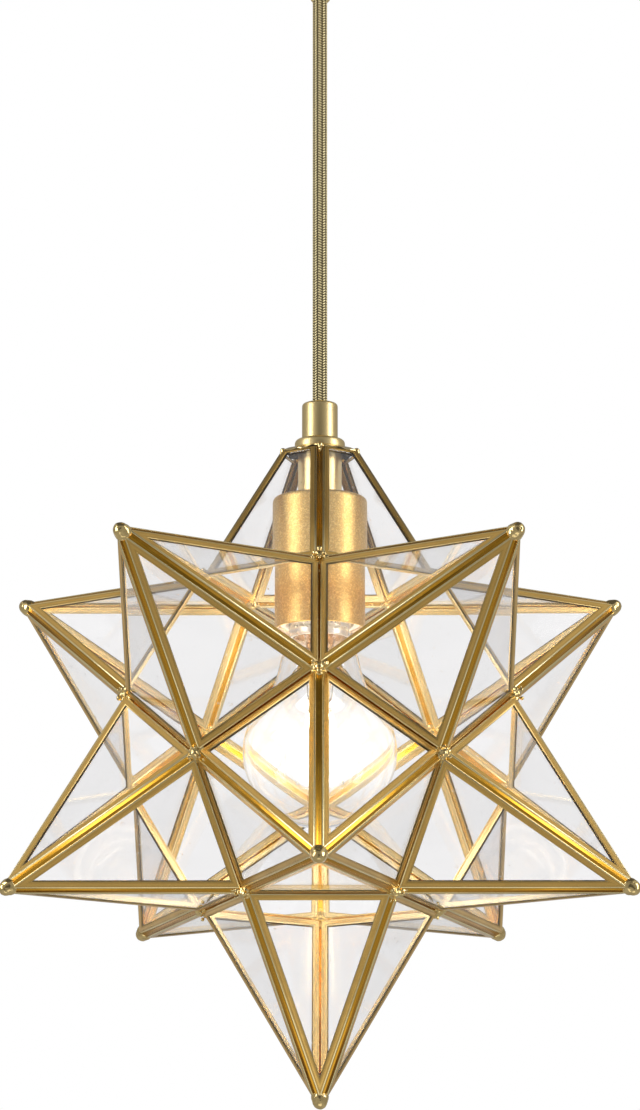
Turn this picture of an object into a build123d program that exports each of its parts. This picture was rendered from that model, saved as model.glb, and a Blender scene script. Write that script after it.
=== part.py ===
from build123d import *
import math
import os

# A twelve-pointed star pendant of framed glass panes, hung on a braided cord from a ceiling canopy.
# Millimetres, +Z up. The origin is the centre of the crossbar's top face, in the ceiling's plane, and
# the star hangs below it. The front of the star faces -Y.

os.makedirs("parts", exist_ok=True)

# ---------------------------------------------------------------- driving dimensions
# the star
star_radius = 144.0  # centre of the star to the sharp end of a point
cap_corner_radius = 15.9  # where the top point is cut off, axis to ridge

# a pane: a sheet of glass in a folded channel
channel_depth = 2.5  # front face to back face
channel_sheet = 0.35  # the brass sheet that the channel is folded from
flange_width = 2.9
glass_thickness = 1.7
glass_edge_gap = 0.15

# solder
tip_ball_radius = 3.4
tip_ball_setback = 1.0  # the ball's centre is this far inside the sharp end
joint_radius = 2.8

# clearances
seam_gap = 0.03  # a pane's edge to the plane that it shares with its neighbour
solder_gap = 0.05  # also round screwed and pressed pieces
seat_gap = 0.1  # between pieces that sit on each other
running_gap = 0.1  # round the cord where it turns in the collar
body_gap = 0.3  # between pieces that move apart

# the ceiling end
canopy_radius = 60.0
canopy_depth = 25.0
canopy_sheet = 1.0
canopy_fillet = 7.0
crossbar_width = 17.0
crossbar_sheet = 1.6
box_screw_spacing = 89.0
box_slot_length = 14.0
box_slot_width = 5.0
crossbar_margin = 1.5  # of metal beyond the slots
crossbar_length = box_screw_spacing + box_slot_length + 2 * crossbar_margin
canopy_screw_spacing = 84.0
canopy_screw_radius = 1.9
canopy_screw_head_radius = 3.5
canopy_screw_head_height = 1.2
ball_nut_radius = 4.5
ball_nut_height = 7.0
grip_height = 11.0
grip_mouth_radius = 5.6
grip_bore_radius = 3.7  # wide enough for the cord to tilt in
swing_point_height = 4.0  # above the grip's mouth
grip_spigot_length = 6.0  # above the canopy's floor
cord_tail_length = 16.0
cord_lead_length = 22.0

# the cord
cord_radius = 3.1
cord_free_length = 183.5  # grip to collar
cord_seat_depth = 11.0  # the length held in the collar

# the stem
collar_radius = 7.25
collar_height = 15.3
collar_fillet = 1.8
grub_screw_radius = 2.0
grub_screw_height = 10.5  # above the collar's foot
flange_disc_radius = 10.2
flange_disc_height = 3.8
flange_disc_fillet = 1.8
cap_rise = 2.2
cap_sheet = 1.0
cap_overhang = 0.6
nipple_radius = 5.0
nipple_bore_radius = 3.3
nipple_collar_depth = 3.2  # the length screwed into the collar
nut_width = 14.0  # across the flats
nut_height = 3.0
neck_radius = 8.35
neck_sheet = 1.0
neck_length = 20.0

# the socket cup and the lampholder
cup_radius = 18.6
cup_height = 53.9
cup_sheet = 1.0
cup_fillet = 2.2
holder_radius = 16.9
holder_recess = 1.6  # the holder's rim above the cup's rim
holder_wall = 1.5
holder_cap_height = 15.0
holder_neck_radius = 8.5
holder_neck_height = 4.5
shell_radius = 13.7
shell_sheet = 0.4
contact_length = 9.0
contact_width = 4.0
contact_sheet = 0.5
contact_leg_height = 1.5
terminal_offset = 10.0
terminal_head_radius = 2.6
terminal_head_height = 1.8
terminal_shank_radius = 1.5
terminal_shank_length = 4.0
lead_radius = 0.8
lead_offset = 1.3

# the lamp
lamp_length = 103.6
lamp_depth = 23.4  # the lamp's contact above the cup's rim
bulb_radius = 30.3
bulb_wall = 1.0
bulb_shoulder_angle = 50.0  # where the round end turns into the neck, from the lamp's axis
bulb_throat_radius = 15.6  # where the neck has narrowed before its last curve into the base
bulb_throat_drop = 7.5  # that place, below the base's rim
bulb_throat_taper = 0.2  # narrowing for each millimetre up, at that place
base_radius = 12.9
base_length = 23.3
base_sheet = 0.4
thread_pitch = 3.6
thread_depth = 0.7
insulator_height = 2.8
button_radius = 4.8
button_height = 1.2
stem_foot_radius = 7.0
stem_top_radius = 4.5
stem_length = 34.0
mast_radius = 0.7
mast_length = 33.0
filament_radius = 0.9
filament_spread = 8.6  # the lower ends of the filaments, from the axis
filament_count = 4

# the door's hinge
knuckle_radius = 1.3
hinge_pin_radius = 0.6
hinge_length = 26.0
hinge_leaf_sheet = 0.6
hinge_leaf_reach = 4.6  # up the pane from its nominal edge
hinge_gap = 0.1
knuckle_count = 5

# ---------------------------------------------------------------- proportions of the star
# The star is a dodecahedron core with a five-sided point on every face. Each pane's long sides lie in
# the planes of the core's faces, which fixes every angle.
golden = (1 + math.sqrt(5)) / 2
half_apex = math.radians(18)  # half the angle at a pane's sharp end
half_base = math.radians(36)  # half the angle at a pane's base corners
pane_lean = math.atan(0.5)  # a pane to its point's axis, and a side point to the level
web_half_angle = math.atan(1 / golden)  # half the angle between two neighbouring channels' webs
core_inradius = star_radius / math.sqrt(5)
edge_length = core_inradius * 2 * math.sqrt(3 - golden) / golden**2
core_circumradius = edge_length * math.sqrt(3) * golden / 2
pane_height = edge_length / 2 / math.tan(half_apex)
half_depth = channel_depth / 2
seam = half_depth * math.tan(web_half_angle) + seam_gap  # nominal edge to the channel's web

# ---------------------------------------------------------------- heights, from the ceiling down
grip_mouth_z = -canopy_depth - grip_height
swing_z = grip_mouth_z + swing_point_height
collar_top_z = grip_mouth_z - cord_free_length
collar_foot_z = collar_top_z - collar_height
disc_foot_z = collar_foot_z - flange_disc_height
cap_foot_z = disc_foot_z - cap_rise
cap_ceiling_z = disc_foot_z - cap_sheet
star_centre_z = cap_foot_z - (star_radius - golden * cap_corner_radius)
star_centre = Vector(0, 0, star_centre_z)
cup_top_z = cap_ceiling_z - neck_length
cup_rim_z = cup_top_z - cup_height
cup_ceiling_z = cup_top_z - cup_sheet
nut_foot_z = cup_ceiling_z - seat_gap - nut_height
nipple_top_z = collar_foot_z + nipple_collar_depth
holder_top_z = nut_foot_z - seat_gap
holder_neck_z = holder_top_z - holder_neck_height
holder_body_top_z = holder_top_z - holder_cap_height
holder_rim_z = cup_rim_z + holder_recess
lamp_top_z = cup_rim_z + lamp_depth
socket_floor_z = lamp_top_z + body_gap + contact_leg_height + seat_gap


# ---------------------------------------------------------------- helpers
def disc(radius, low_z, high_z, bore=0.0, x=0.0, y=0.0):
    """An upright cylinder or washer between two heights."""
    middle = Pos(x, y, (low_z + high_z) / 2)
    solid = middle * Cylinder(radius, high_z - low_z)
    if bore > 0:
        solid -= middle * Cylinder(bore, high_z - low_z + 1)
    return solid


def block(low, high):
    """A box between two corners."""
    size = [b - a for a, b in zip(low, high)]
    middle = [(a + b) / 2 for a, b in zip(low, high)]
    return Pos(*middle) * Box(*size)


def turned(outline):
    """A solid of revolution about Z from (radius, z) corners."""
    corners = [(radius, 0, z) for radius, z in outline]
    return revolve(make_face(Polyline(*corners, close=True)), Axis.Z)


def ball(centre, radius):
    return Pos(*centre) * Sphere(radius)


def rod(start, end, radius):
    """A round rod between two points."""
    start = Vector(*start)
    reach = Vector(*end) - start
    return extrude(Plane(origin=start, z_dir=reach.normalized()) * Circle(radius), reach.length)


def rounded_top(solid, radius):
    """Round off the highest circular edge, the outer one where there are two."""
    rims = solid.edges().filter_by(GeomType.CIRCLE).sort_by(Axis.Z)
    top_z = rims[-1].center().Z
    highest = [rim for rim in rims if abs(rim.center().Z - top_z) < radius / 10]
    return fillet(max(highest, key=lambda rim: rim.radius), radius)


def rounded_foot(solid, radius):
    """Round off the lowest circular edge, the outer one where there are two."""
    return Pos(0, 0, 0) * mirror(rounded_top(mirror(solid, about=Plane.XY), radius), about=Plane.XY)


def save(name, *shapes):
    """Write one sub-part: a single solid, or a group of separate ones."""
    solids = [solid for shape in shapes for solid in shape.solids()]
    export_step(solids[0] if len(solids) == 1 else Compound(solids), f"parts/{name}.step")


# ---------------------------------------------------------------- where the star's panes lie
def direction(azimuth, elevation):
    """Unit vector; azimuth 0 is the front, -Y, and grows towards +X."""
    turn = math.radians(azimuth)
    level = math.cos(elevation)
    return Vector(level * math.sin(turn), -level * math.cos(turn), math.sin(elevation))


points = {
    "top": Vector(0, 0, 1),
    "upper_front_left": direction(-36, pane_lean),
    "upper_front_right": direction(36, pane_lean),
    "upper_right": direction(108, pane_lean),
    "upper_left": direction(-108, pane_lean),
    "door": direction(180, pane_lean),
    "lower_front": direction(0, -pane_lean),
    "lower_right": direction(72, -pane_lean),
    "lower_rear_right": direction(144, -pane_lean),
    "lower_rear_left": direction(-144, -pane_lean),
    "lower_left": direction(-72, -pane_lean),
    "bottom": Vector(0, 0, -1),
}


def corners_round(point):
    """The five core corners at a point's base, in order round its axis."""
    axis = points[point]
    level = Plane(origin=(0, 0, 0), z_dir=axis)
    beside = [d for d in points.values() if 0 < d.dot(axis) < 0.9]
    beside.sort(key=lambda d: math.atan2(d.dot(level.y_dir), d.dot(level.x_dir)))
    following = beside[1:] + beside[:1]
    return [star_centre + (axis + a + b).normalized() * core_circumradius for a, b in zip(beside, following)]


def pane_places(point):
    """A location for each pane: origin at its base edge's middle, Y to the sharp end, Z outwards."""
    corners = corners_round(point)
    base_centre = star_centre + points[point] * core_inradius
    sharp_end = star_centre + points[point] * star_radius
    places = []
    for start, end in zip(corners, corners[1:] + corners[:1]):
        middle = (start + end) * 0.5
        outwards = (end - start).cross(sharp_end - middle)
        sense = 1 if outwards.dot(middle - base_centre) > 0 else -1
        plane = Plane(origin=middle, x_dir=(end - start) * sense, z_dir=outwards * sense)
        places.append(plane.location)
    return places


# ---------------------------------------------------------------- one framed pane, lying flat
def pane_slab(inset, low, high, cut_edge=None):
    """The pane's triangle drawn in by inset, thick from low to high, and cut level below its sharp end
    where a cut edge is given."""
    half_width = edge_length / 2 - inset / math.tan(half_base)
    sharp_end = pane_height - inset / math.sin(half_apex)
    outline = [(-half_width, inset), (half_width, inset), (0, sharp_end)]
    if cut_edge is not None:
        top = cut_edge - inset
        half_top = (sharp_end - top) * math.tan(half_apex)
        outline[2:] = [(half_top, top), (-half_top, top)]
    return Pos(0, 0, low) * extrude(make_face(Polyline(*outline, close=True)), high - low)


def without_solder(solid, gap):
    """Cut the balls of solder at a pane's three corners out of it."""
    tip = (
        0,
        pane_height - tip_ball_setback * math.cos(pane_lean),
        -tip_ball_setback * math.sin(pane_lean),
    )
    solid -= ball(tip, tip_ball_radius + gap)
    for side in (-1, 1):
        solid -= ball((side * edge_length / 2, 0, 0), joint_radius + gap)
    return solid


def channel_frame(cut_edge=None):
    """Folded channel all round a pane: a flange on each face, and the web outside them."""
    pocket = half_depth - channel_sheet
    frame = pane_slab(seam, -half_depth, half_depth, cut_edge)
    frame -= pane_slab(seam + channel_sheet, -pocket, pocket, cut_edge)
    frame -= pane_slab(seam + flange_width, -channel_depth, channel_depth, cut_edge)
    return without_solder(frame, solder_gap)


def glass_pane(cut_edge=None):
    """The sheet of glass in the channel's pocket."""
    inset = seam + channel_sheet + glass_edge_gap
    glass = pane_slab(inset, -glass_thickness / 2, glass_thickness / 2, cut_edge)
    return without_solder(glass, solder_gap + glass_edge_gap)


cut_clear_height = cap_foot_z - seat_gap - star_centre_z - half_depth * math.sin(pane_lean)
cut_edge = (cut_clear_height - core_inradius) / math.cos(pane_lean) + seam
whole_pane = (channel_frame(), glass_pane())
cut_pane = (channel_frame(cut_edge), glass_pane(cut_edge))

for point in points:
    frame, glass = cut_pane if point == "top" else whole_pane
    places = pane_places(point)
    if point == "door":
        frame_name, glass_name = "door_frame", "door_glass"
    else:
        frame_name, glass_name = f"frame_point_{point}", f"glass_point_{point}"
    save(frame_name, *[place * frame for place in places])
    save(glass_name, *[place * glass for place in places])


# ---------------------------------------------------------------- solder
def tip_ball(point):
    return ball(star_centre + points[point] * (star_radius - tip_ball_setback), tip_ball_radius)


save("tip_balls", *[tip_ball(point) for point in points if point not in ("top", "door")])
save("door_tip_ball", tip_ball("door"))

# The joints round the door are split at its base plane, so that the door lifts off with its own share:
# what stands out from the plane within the door's outline.
door_corners = corners_round("door")
door_plane = Plane(origin=star_centre + points["door"] * core_inradius, z_dir=points["door"])
door_outline = [door_plane.to_local_coords(corner) for corner in door_corners]
door_base = offset(make_face(Polyline(*door_outline, close=True)), amount=-body_gap, kind=Kind.INTERSECTION)


def out_from_door_base(face, start):
    """The space straight out from the door's base plane over a face, beginning at start."""
    return door_plane.location * (Pos(0, 0, start) * extrude(face, 4 * joint_radius, dir=(0, 0, 1)))


core_corners = []
for point in points:
    for corner in corners_round(point):
        if all((corner - known).length > joint_radius for known in core_corners):
            core_corners.append(corner)
beyond_door_plane = out_from_door_base(Circle(2 * edge_length), seat_gap)
near_door = [min((corner - known).length for known in door_corners) < joint_radius for corner in core_corners]
joints = []
for corner, by_door in zip(core_corners, near_door):
    joint = ball(corner, joint_radius)
    joints.append((corner.Z, joint - beyond_door_plane if by_door else joint))
save("solder_joints_upper", *[joint for z, joint in joints if z > star_centre_z])
save("solder_joints_lower", *[joint for z, joint in joints if z < star_centre_z])
door_share = out_from_door_base(door_base, seat_gap + body_gap)
save("door_solder", *[ball(corner, joint_radius) & door_share for corner in door_corners])

# ---------------------------------------------------------------- the door's hinge
# In a pane's own frame the pin lies outside the crease, as far from the one pane as from the other.
pin_height = half_depth + knuckle_radius + hinge_gap
pin_reach = pin_height / golden
leaf_low = half_depth + solder_gap
leaf_high = leaf_low + hinge_leaf_sheet
leaf_start = pin_reach + knuckle_radius + hinge_gap
knuckle_pitch = hinge_length / knuckle_count


def hinge_rod(left, right, radius):
    """A round rod along the hinge's axis."""
    return rod((left, pin_reach, pin_height), (right, pin_reach, pin_height), radius)


def hinge_leaf(first):
    """One leaf, with every second knuckle from the one numbered first."""
    leaf = block((-hinge_length / 2, leaf_start, leaf_low), (hinge_length / 2, hinge_leaf_reach, leaf_high))
    for number in range(first, knuckle_count, 2):
        left = -hinge_length / 2 + number * knuckle_pitch + hinge_gap
        right = left + knuckle_pitch - 2 * hinge_gap
        leaf += block((left, pin_reach, leaf_low), (right, leaf_start + hinge_gap, leaf_high))
        leaf += hinge_rod(left, right, knuckle_radius)
    return leaf - hinge_rod(-hinge_length, hinge_length, hinge_pin_radius + solder_gap)


fixed_place = max(pane_places("top"), key=lambda place: place.position.Y)
door_place = min(
    pane_places("door"),
    key=lambda place: (place.position - fixed_place.position).length,
)
save("hinge_leaf_fixed", fixed_place * hinge_leaf(0))
save("door_hinge_leaf", door_place * hinge_leaf(1))
save("hinge_pin", fixed_place * hinge_rod(-hinge_length / 2, hinge_length / 2, hinge_pin_radius))


# ---------------------------------------------------------------- cap plate, flange disc and collar
def pentagon(corner_radius, z):
    """A level five-sided face with a corner to the front."""
    return Pos(0, 0, z) * RegularPolygon(corner_radius, 5, rotation=-90)


cap_wall = cap_sheet / math.cos(half_base)
cap_base_radius = cap_corner_radius + cap_overhang
cap_top_radius = (flange_disc_radius + cap_overhang) / math.cos(half_base)
cap = loft([pentagon(cap_base_radius, cap_foot_z), pentagon(cap_top_radius, disc_foot_z)])
cap -= loft(
    [
        pentagon(cap_base_radius - cap_wall, cap_foot_z),
        pentagon(cap_top_radius - cap_wall, cap_ceiling_z),
    ]
)
save("cap_plate", cap - disc(nipple_radius + solder_gap, cap_foot_z, disc_foot_z + 1))

flange_disc = rounded_top(disc(flange_disc_radius, disc_foot_z, collar_foot_z), flange_disc_fillet)
save("top_flange", flange_disc - disc(nipple_radius + solder_gap, disc_foot_z - 1, collar_foot_z + 1))

grub_z = collar_foot_z + grub_screw_height
collar = rounded_top(disc(collar_radius, collar_foot_z, collar_top_z), collar_fillet)
collar -= disc(cord_radius + running_gap, collar_foot_z - 1, collar_top_z + 1)
collar -= disc(nipple_radius + solder_gap, collar_foot_z - 1, nipple_top_z + seat_gap)
collar -= rod((0, 0, grub_z), (0, 2 * collar_radius, grub_z), grub_screw_radius + solder_gap)
save("cord_collar", collar)

slot_depth = grub_screw_radius / 2
grub_screw = rod((0, cord_radius + body_gap, grub_z), (0, collar_radius, grub_z), grub_screw_radius)
grub_screw -= block(
    (-grub_screw_radius, collar_radius - slot_depth, grub_z - slot_depth / 3),
    (grub_screw_radius, collar_radius + slot_depth, grub_z + slot_depth / 3),
)
save("collar_grub_screw", grub_screw)


# ---------------------------------------------------------------- nipple, nut, neck and cup
def hex_nut(low_z):
    nut = Pos(0, 0, low_z) * extrude(RegularPolygon(nut_width / 2, 6, major_radius=False), nut_height)
    return nut - disc(nipple_radius + solder_gap, low_z - 1, low_z + nut_height + 1)


save("threaded_nipple", disc(nipple_radius, holder_neck_z, nipple_top_z, nipple_bore_radius))
save("nipple_lock_nut", hex_nut(nut_foot_z))
save(
    "neck_tube",
    disc(neck_radius, cup_top_z + seat_gap, cap_ceiling_z - seat_gap, neck_radius - neck_sheet),
)
cup = rounded_top(disc(cup_radius, cup_rim_z, cup_top_z), cup_fillet)
cup -= rounded_top(disc(cup_radius - cup_sheet, cup_rim_z - cup_sheet, cup_ceiling_z), cup_fillet - cup_sheet)
save("socket_cup", cup - disc(nipple_radius + solder_gap, cup_rim_z, cup_top_z + 1))

# ---------------------------------------------------------------- lampholder
holder_shoulder_z = holder_body_top_z + holder_cap_height / 3
holder_inner_radius = holder_radius - holder_wall
thread_room = nipple_radius + solder_gap
holder_cap_outline = [
    (thread_room, holder_top_z),
    (holder_neck_radius, holder_top_z),
    (holder_neck_radius, holder_neck_z),
    (holder_radius, holder_shoulder_z),
    (holder_radius, holder_body_top_z + seat_gap),
    (holder_inner_radius, holder_body_top_z + seat_gap),
    (holder_inner_radius, holder_shoulder_z - holder_wall),
    (thread_room, holder_neck_z - holder_wall),
]
save("lampholder_cap", turned(holder_cap_outline))

holder_body = disc(holder_radius, holder_rim_z, holder_body_top_z)
holder_body -= disc(shell_radius + seat_gap, holder_rim_z - 1, socket_floor_z)
terminals = []
for side in (-1, 1):
    x = side * terminal_offset
    shank_foot_z = holder_body_top_z - terminal_shank_length
    head_foot_z = holder_body_top_z + seat_gap
    holder_body -= disc(terminal_shank_radius + solder_gap, shank_foot_z - seat_gap, head_foot_z, x=x)
    head = disc(terminal_head_radius, head_foot_z, head_foot_z + terminal_head_height, x=x)
    terminals.append(head + disc(terminal_shank_radius, shank_foot_z, head_foot_z, x=x))
save("lampholder_body", holder_body)
save("terminal_screws", *terminals)
save(
    "lampholder_shell",
    disc(shell_radius, holder_rim_z + holder_recess, socket_floor_z - seat_gap, shell_radius - shell_sheet),
)

tongue_z = lamp_top_z + body_gap
tongue = block(
    (-contact_length / 2, -contact_width / 2, tongue_z),
    (contact_length / 2, contact_width / 2, tongue_z + contact_sheet),
)
tongue += block(
    (contact_length / 2 - contact_sheet, -contact_width / 2, tongue_z),
    (contact_length / 2, contact_width / 2, tongue_z + contact_leg_height),
)
save("lampholder_contact", tongue)


def inner_lead(side):
    """From the cord's end down through the nipple, then out to a terminal screw."""
    top_z = collar_top_z - cord_seat_depth - body_gap
    bend_z = holder_neck_z - lead_radius
    end_x = terminal_offset - terminal_head_radius - seat_gap - lead_radius
    terminal_z = holder_body_top_z + lead_radius + seat_gap
    route = [
        (side * lead_offset, 0, top_z),
        (side * lead_offset, 0, bend_z),
        (side * end_x, 0, terminal_z),
    ]
    path = FilletPolyline(*route, radius=4 * lead_radius)
    return sweep(Plane(origin=path @ 0, z_dir=path % 0) * Circle(lead_radius), path=path)


save("inner_leads", inner_lead(-1), inner_lead(1))

# ---------------------------------------------------------------- lamp
lamp_foot_z = lamp_top_z - lamp_length
bulb_centre_z = lamp_foot_z + bulb_radius
button_low_z = lamp_top_z - button_height
insulator_low_z = button_low_z - insulator_height
base_low_z = insulator_low_z - base_length
neck_top_z = base_low_z + base_length / 3
stem_foot_z = neck_top_z - bulb_wall - seat_gap
root_radius = base_radius - thread_depth
inside_radius = root_radius - base_sheet
bulb_neck_radius = inside_radius - seat_gap


def bulb_solid(wall):
    """The bulb's round end and neck, drawn in by wall."""
    angle = math.radians(bulb_shoulder_angle)
    round_radius = bulb_radius - wall
    neck_radius = bulb_neck_radius - wall
    foot = (0, bulb_centre_z - round_radius)
    shoulder = (round_radius * math.sin(angle), bulb_centre_z + round_radius * math.cos(angle))
    throat = (bulb_throat_radius - wall, base_low_z - bulb_throat_drop - wall / 2)
    neck_start = (neck_radius, base_low_z - bulb_wall)
    neck_end = (neck_radius, neck_top_z - wall)
    round_end = CenterArc((0, bulb_centre_z), round_radius, -90, 180 - bulb_shoulder_angle)
    at_throat = (-bulb_throat_taper, 1)
    cone = Spline(shoulder, throat, tangents=[(-math.cos(angle), math.sin(angle)), at_throat])
    neck = Spline(throat, neck_start, tangents=[at_throat, (0, 1)])
    rest = Polyline(neck_start, neck_end, (0, neck_top_z - wall), foot)
    return revolve(Plane.XZ * make_face([round_end, cone, neck, rest]), Axis.Z)


save("bulb_glass", bulb_solid(0) - bulb_solid(bulb_wall))

# the base: a thin shell with a rounded thread, open at the foot, closed by the insulator
thread_turns = int((base_length - 2 * thread_pitch) / thread_pitch)
thread_low_z = base_low_z + thread_pitch
base_outline = [(inside_radius, base_low_z), (base_radius - thread_depth / 2, base_low_z)]
for turn in range(thread_turns):
    base_outline.append((root_radius, thread_low_z + turn * thread_pitch))
    base_outline.append((base_radius, thread_low_z + (turn + 0.5) * thread_pitch))
base_outline.append((root_radius, thread_low_z + thread_turns * thread_pitch))
base_outline.append((root_radius, insulator_low_z))
base_outline.append((inside_radius, insulator_low_z))
save("bulb_base", turned(base_outline))

insulator = [(0, insulator_low_z + seat_gap), (root_radius, insulator_low_z + seat_gap),
             (button_radius + button_height, button_low_z), (0, button_low_z)]
button = [(0, button_low_z), (button_radius, button_low_z), (button_radius / 2, lamp_top_z), (0, lamp_top_z)]
save("bulb_contact", turned(insulator) + turned(button))

stem_top_z = stem_foot_z - stem_length
mast_foot_z = stem_top_z - mast_length
stem = turned(
    [
        (0, stem_foot_z),
        (stem_foot_radius, stem_foot_z),
        (stem_foot_radius - 1, stem_foot_z - stem_length / 3),
        (stem_top_radius, stem_top_z),
        (0, stem_top_z),
    ]
)
stem += disc(mast_radius, mast_foot_z, stem_top_z)
for turn in range(filament_count // 2):
    arm = Box(2 * (filament_spread + filament_radius), 2 * mast_radius, mast_radius)
    stem += Pos(0, 0, mast_foot_z) * (Rot(0, 0, turn * 360 / filament_count) * arm)
save("bulb_stem", stem)

filaments = []
for number in range(filament_count):
    angle = math.radians(number * 360 / filament_count)
    top_spread = stem_top_radius - filament_radius
    low_z = mast_foot_z + mast_radius / 2 + seat_gap
    high = (top_spread * math.cos(angle), top_spread * math.sin(angle), stem_top_z - body_gap)
    low = (filament_spread * math.cos(angle), filament_spread * math.sin(angle), low_z + body_gap)
    filaments.append(rod(high, low, filament_radius))
save("bulb_filaments", *filaments)

# ---------------------------------------------------------------- cord
# It swings at its upper end, so that end is rounded about the swing point.
cord = disc(cord_radius, collar_top_z - cord_seat_depth, swing_z) + ball((0, 0, swing_z), cord_radius)
save("cord", cord)

# ---------------------------------------------------------------- ceiling end
canopy = rounded_foot(disc(canopy_radius, -canopy_depth, 0), canopy_fillet)
inside = disc(canopy_radius - canopy_sheet, canopy_sheet - canopy_depth, canopy_sheet)
canopy -= rounded_foot(inside, canopy_fillet - canopy_sheet)
canopy -= disc(nipple_radius + solder_gap, -canopy_depth - 1, 0)
crossbar = block(
    (-crossbar_length / 2, -crossbar_width / 2, -crossbar_sheet),
    (crossbar_length / 2, crossbar_width / 2, 0),
)
crossbar += block(
    (-crossbar_width / 2, -crossbar_length / 2, -crossbar_sheet),
    (crossbar_width / 2, crossbar_length / 2, 0),
)
for side in (-1, 1):
    slot = SlotOverall(box_slot_length, box_slot_width)
    crossbar -= Pos(side * box_screw_spacing / 2, 0, -2 * crossbar_sheet) * extrude(slot, 4 * crossbar_sheet)
    y = side * canopy_screw_spacing / 2
    crossbar -= disc(canopy_screw_radius + solder_gap, -2 * crossbar_sheet, crossbar_sheet, y=y)
    canopy -= disc(canopy_screw_radius + seat_gap, -canopy_depth - 1, 0, y=y)
save("crossbar", crossbar)
save("canopy", canopy)

# Each screw's head hangs under the bar, and its end comes out through the canopy into a ball nut.
nut_top_z = -canopy_depth - seat_gap
nut_floor_z = nut_top_z - ball_nut_height
screw_foot_z = nut_top_z - ball_nut_height / 2
screws = []
nuts = []
for side in (-1, 1):
    y = side * canopy_screw_spacing / 2
    head_top_z = -crossbar_sheet - seat_gap
    screw = disc(canopy_screw_radius, screw_foot_z, -seat_gap, y=y)
    screw += disc(canopy_screw_head_radius, head_top_z - canopy_screw_head_height, head_top_z, y=y)
    screws.append(screw)
    nut = disc(ball_nut_radius, nut_floor_z, nut_top_z, y=y)
    nut = rounded_foot(nut, ball_nut_radius - canopy_screw_radius)
    nuts.append(nut - disc(canopy_screw_radius + solder_gap, screw_foot_z - seat_gap, 0, y=y))
save("canopy_screws", *screws)
save("canopy_ball_nuts", *nuts)

# The grip's mouth is flared to let the cord swing, and its spigot goes up through the canopy.
tail_foot_z = swing_z + cord_radius + body_gap
grip_foot = rounded_foot(disc(collar_radius, grip_mouth_z, -canopy_depth - seat_gap),
                         (collar_radius - grip_mouth_radius) / 2)
grip = grip_foot + disc(nipple_radius, -canopy_depth - 1, grip_spigot_length - canopy_depth)
flare_rate = (grip_mouth_radius - grip_bore_radius) / swing_point_height
grip -= disc(grip_bore_radius, swing_z - swing_point_height, 0)
grip -= turned(
    [
        (0, grip_mouth_z - 1),
        (grip_mouth_radius + flare_rate, grip_mouth_z - 1),
        (grip_bore_radius, swing_z),
        (0, swing_z),
    ]
)
save("canopy_grip", grip)
save("canopy_lock_nut", hex_nut(canopy_sheet - canopy_depth + seat_gap))

tail_top_z = tail_foot_z + cord_tail_length
tail = disc(cord_radius, tail_foot_z, tail_top_z)
for side in (-1, 1):
    start = (side * lead_offset, 0, tail_top_z - 2 * lead_radius)
    tail += rod(start, (side * cord_lead_length, 0, tail_top_z + 2 * lead_radius), lead_radius)
save("cord_tail", tail)

print(f"star centre at z = {star_centre_z:.3f}, edge {edge_length:.2f}, pane height {pane_height:.2f}")
print(f"swing point z {swing_z:.3f}, collar top {collar_top_z:.3f}, cup rim {cup_rim_z:.3f}")
print(f"lamp foot {lamp_foot_z:.3f}, bulb centre {bulb_centre_z:.3f}, lamp top {lamp_top_z:.3f}")
hinge_point = fixed_place * Location((0, pin_reach, pin_height))
print(f"hinge axis through {hinge_point.position}")
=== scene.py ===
import math
import random

import bmesh
import bpy
from bpy.props import FloatProperty, FloatVectorProperty, IntProperty, PointerProperty
from mathutils import Matrix, Vector


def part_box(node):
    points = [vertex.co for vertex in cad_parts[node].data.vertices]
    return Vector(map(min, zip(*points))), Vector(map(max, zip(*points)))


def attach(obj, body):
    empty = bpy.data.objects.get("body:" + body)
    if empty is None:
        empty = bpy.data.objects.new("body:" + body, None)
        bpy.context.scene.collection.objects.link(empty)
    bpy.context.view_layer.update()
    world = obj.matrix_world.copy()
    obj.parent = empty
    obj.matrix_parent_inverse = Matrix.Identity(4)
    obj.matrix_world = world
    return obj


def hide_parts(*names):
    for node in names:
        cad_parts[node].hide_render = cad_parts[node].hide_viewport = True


# The looks of a twelve-pointed star pendant: framed glass panes, a socket cup with a clear lamp, a braided
# cord and a ceiling canopy. Metres, +Z up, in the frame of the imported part. The front faces -Y.

bl_info = {
    "name": "Glass star pendant",
    "version": (1, 0, 0),
    "blender": (4, 5, 0),
    "location": "3D View > Sidebar > Star pendant",
    "description": "Builds the looks of a twelve-pointed glass star pendant on its packed parts",
    "category": "Object",
}

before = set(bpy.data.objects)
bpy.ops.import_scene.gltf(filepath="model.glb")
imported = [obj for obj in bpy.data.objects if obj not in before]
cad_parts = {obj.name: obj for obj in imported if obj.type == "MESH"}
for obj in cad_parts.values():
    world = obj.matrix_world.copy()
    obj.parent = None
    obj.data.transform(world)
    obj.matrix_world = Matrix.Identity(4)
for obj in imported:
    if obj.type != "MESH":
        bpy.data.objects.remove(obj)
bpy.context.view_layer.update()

MM = 0.001
TAU = 2 * math.pi


def foot_of(node):
    """Height of a CAD node's lowest point."""
    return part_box(node)[0][2]


def top_of(node):
    """Height of a CAD node's highest point."""
    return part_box(node)[1][2]


def radius_of(node):
    """Largest radius of a CAD node that is round about the pendant's axis."""
    low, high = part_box(node)
    return (high[0] - low[0]) / 2


def extent(node):
    """Foot, top and radius of a round CAD node."""
    return foot_of(node), top_of(node), radius_of(node)


# ---------------------------------------------------------------- what a user would change
def length(name, description, default):
    return FloatProperty(name=name, description=description, default=default, unit="LENGTH", precision=5)


def colour(name, description, default):
    return FloatVectorProperty(name=name, description=description, default=default, subtype="COLOR",
                               min=0, max=1)


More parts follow.
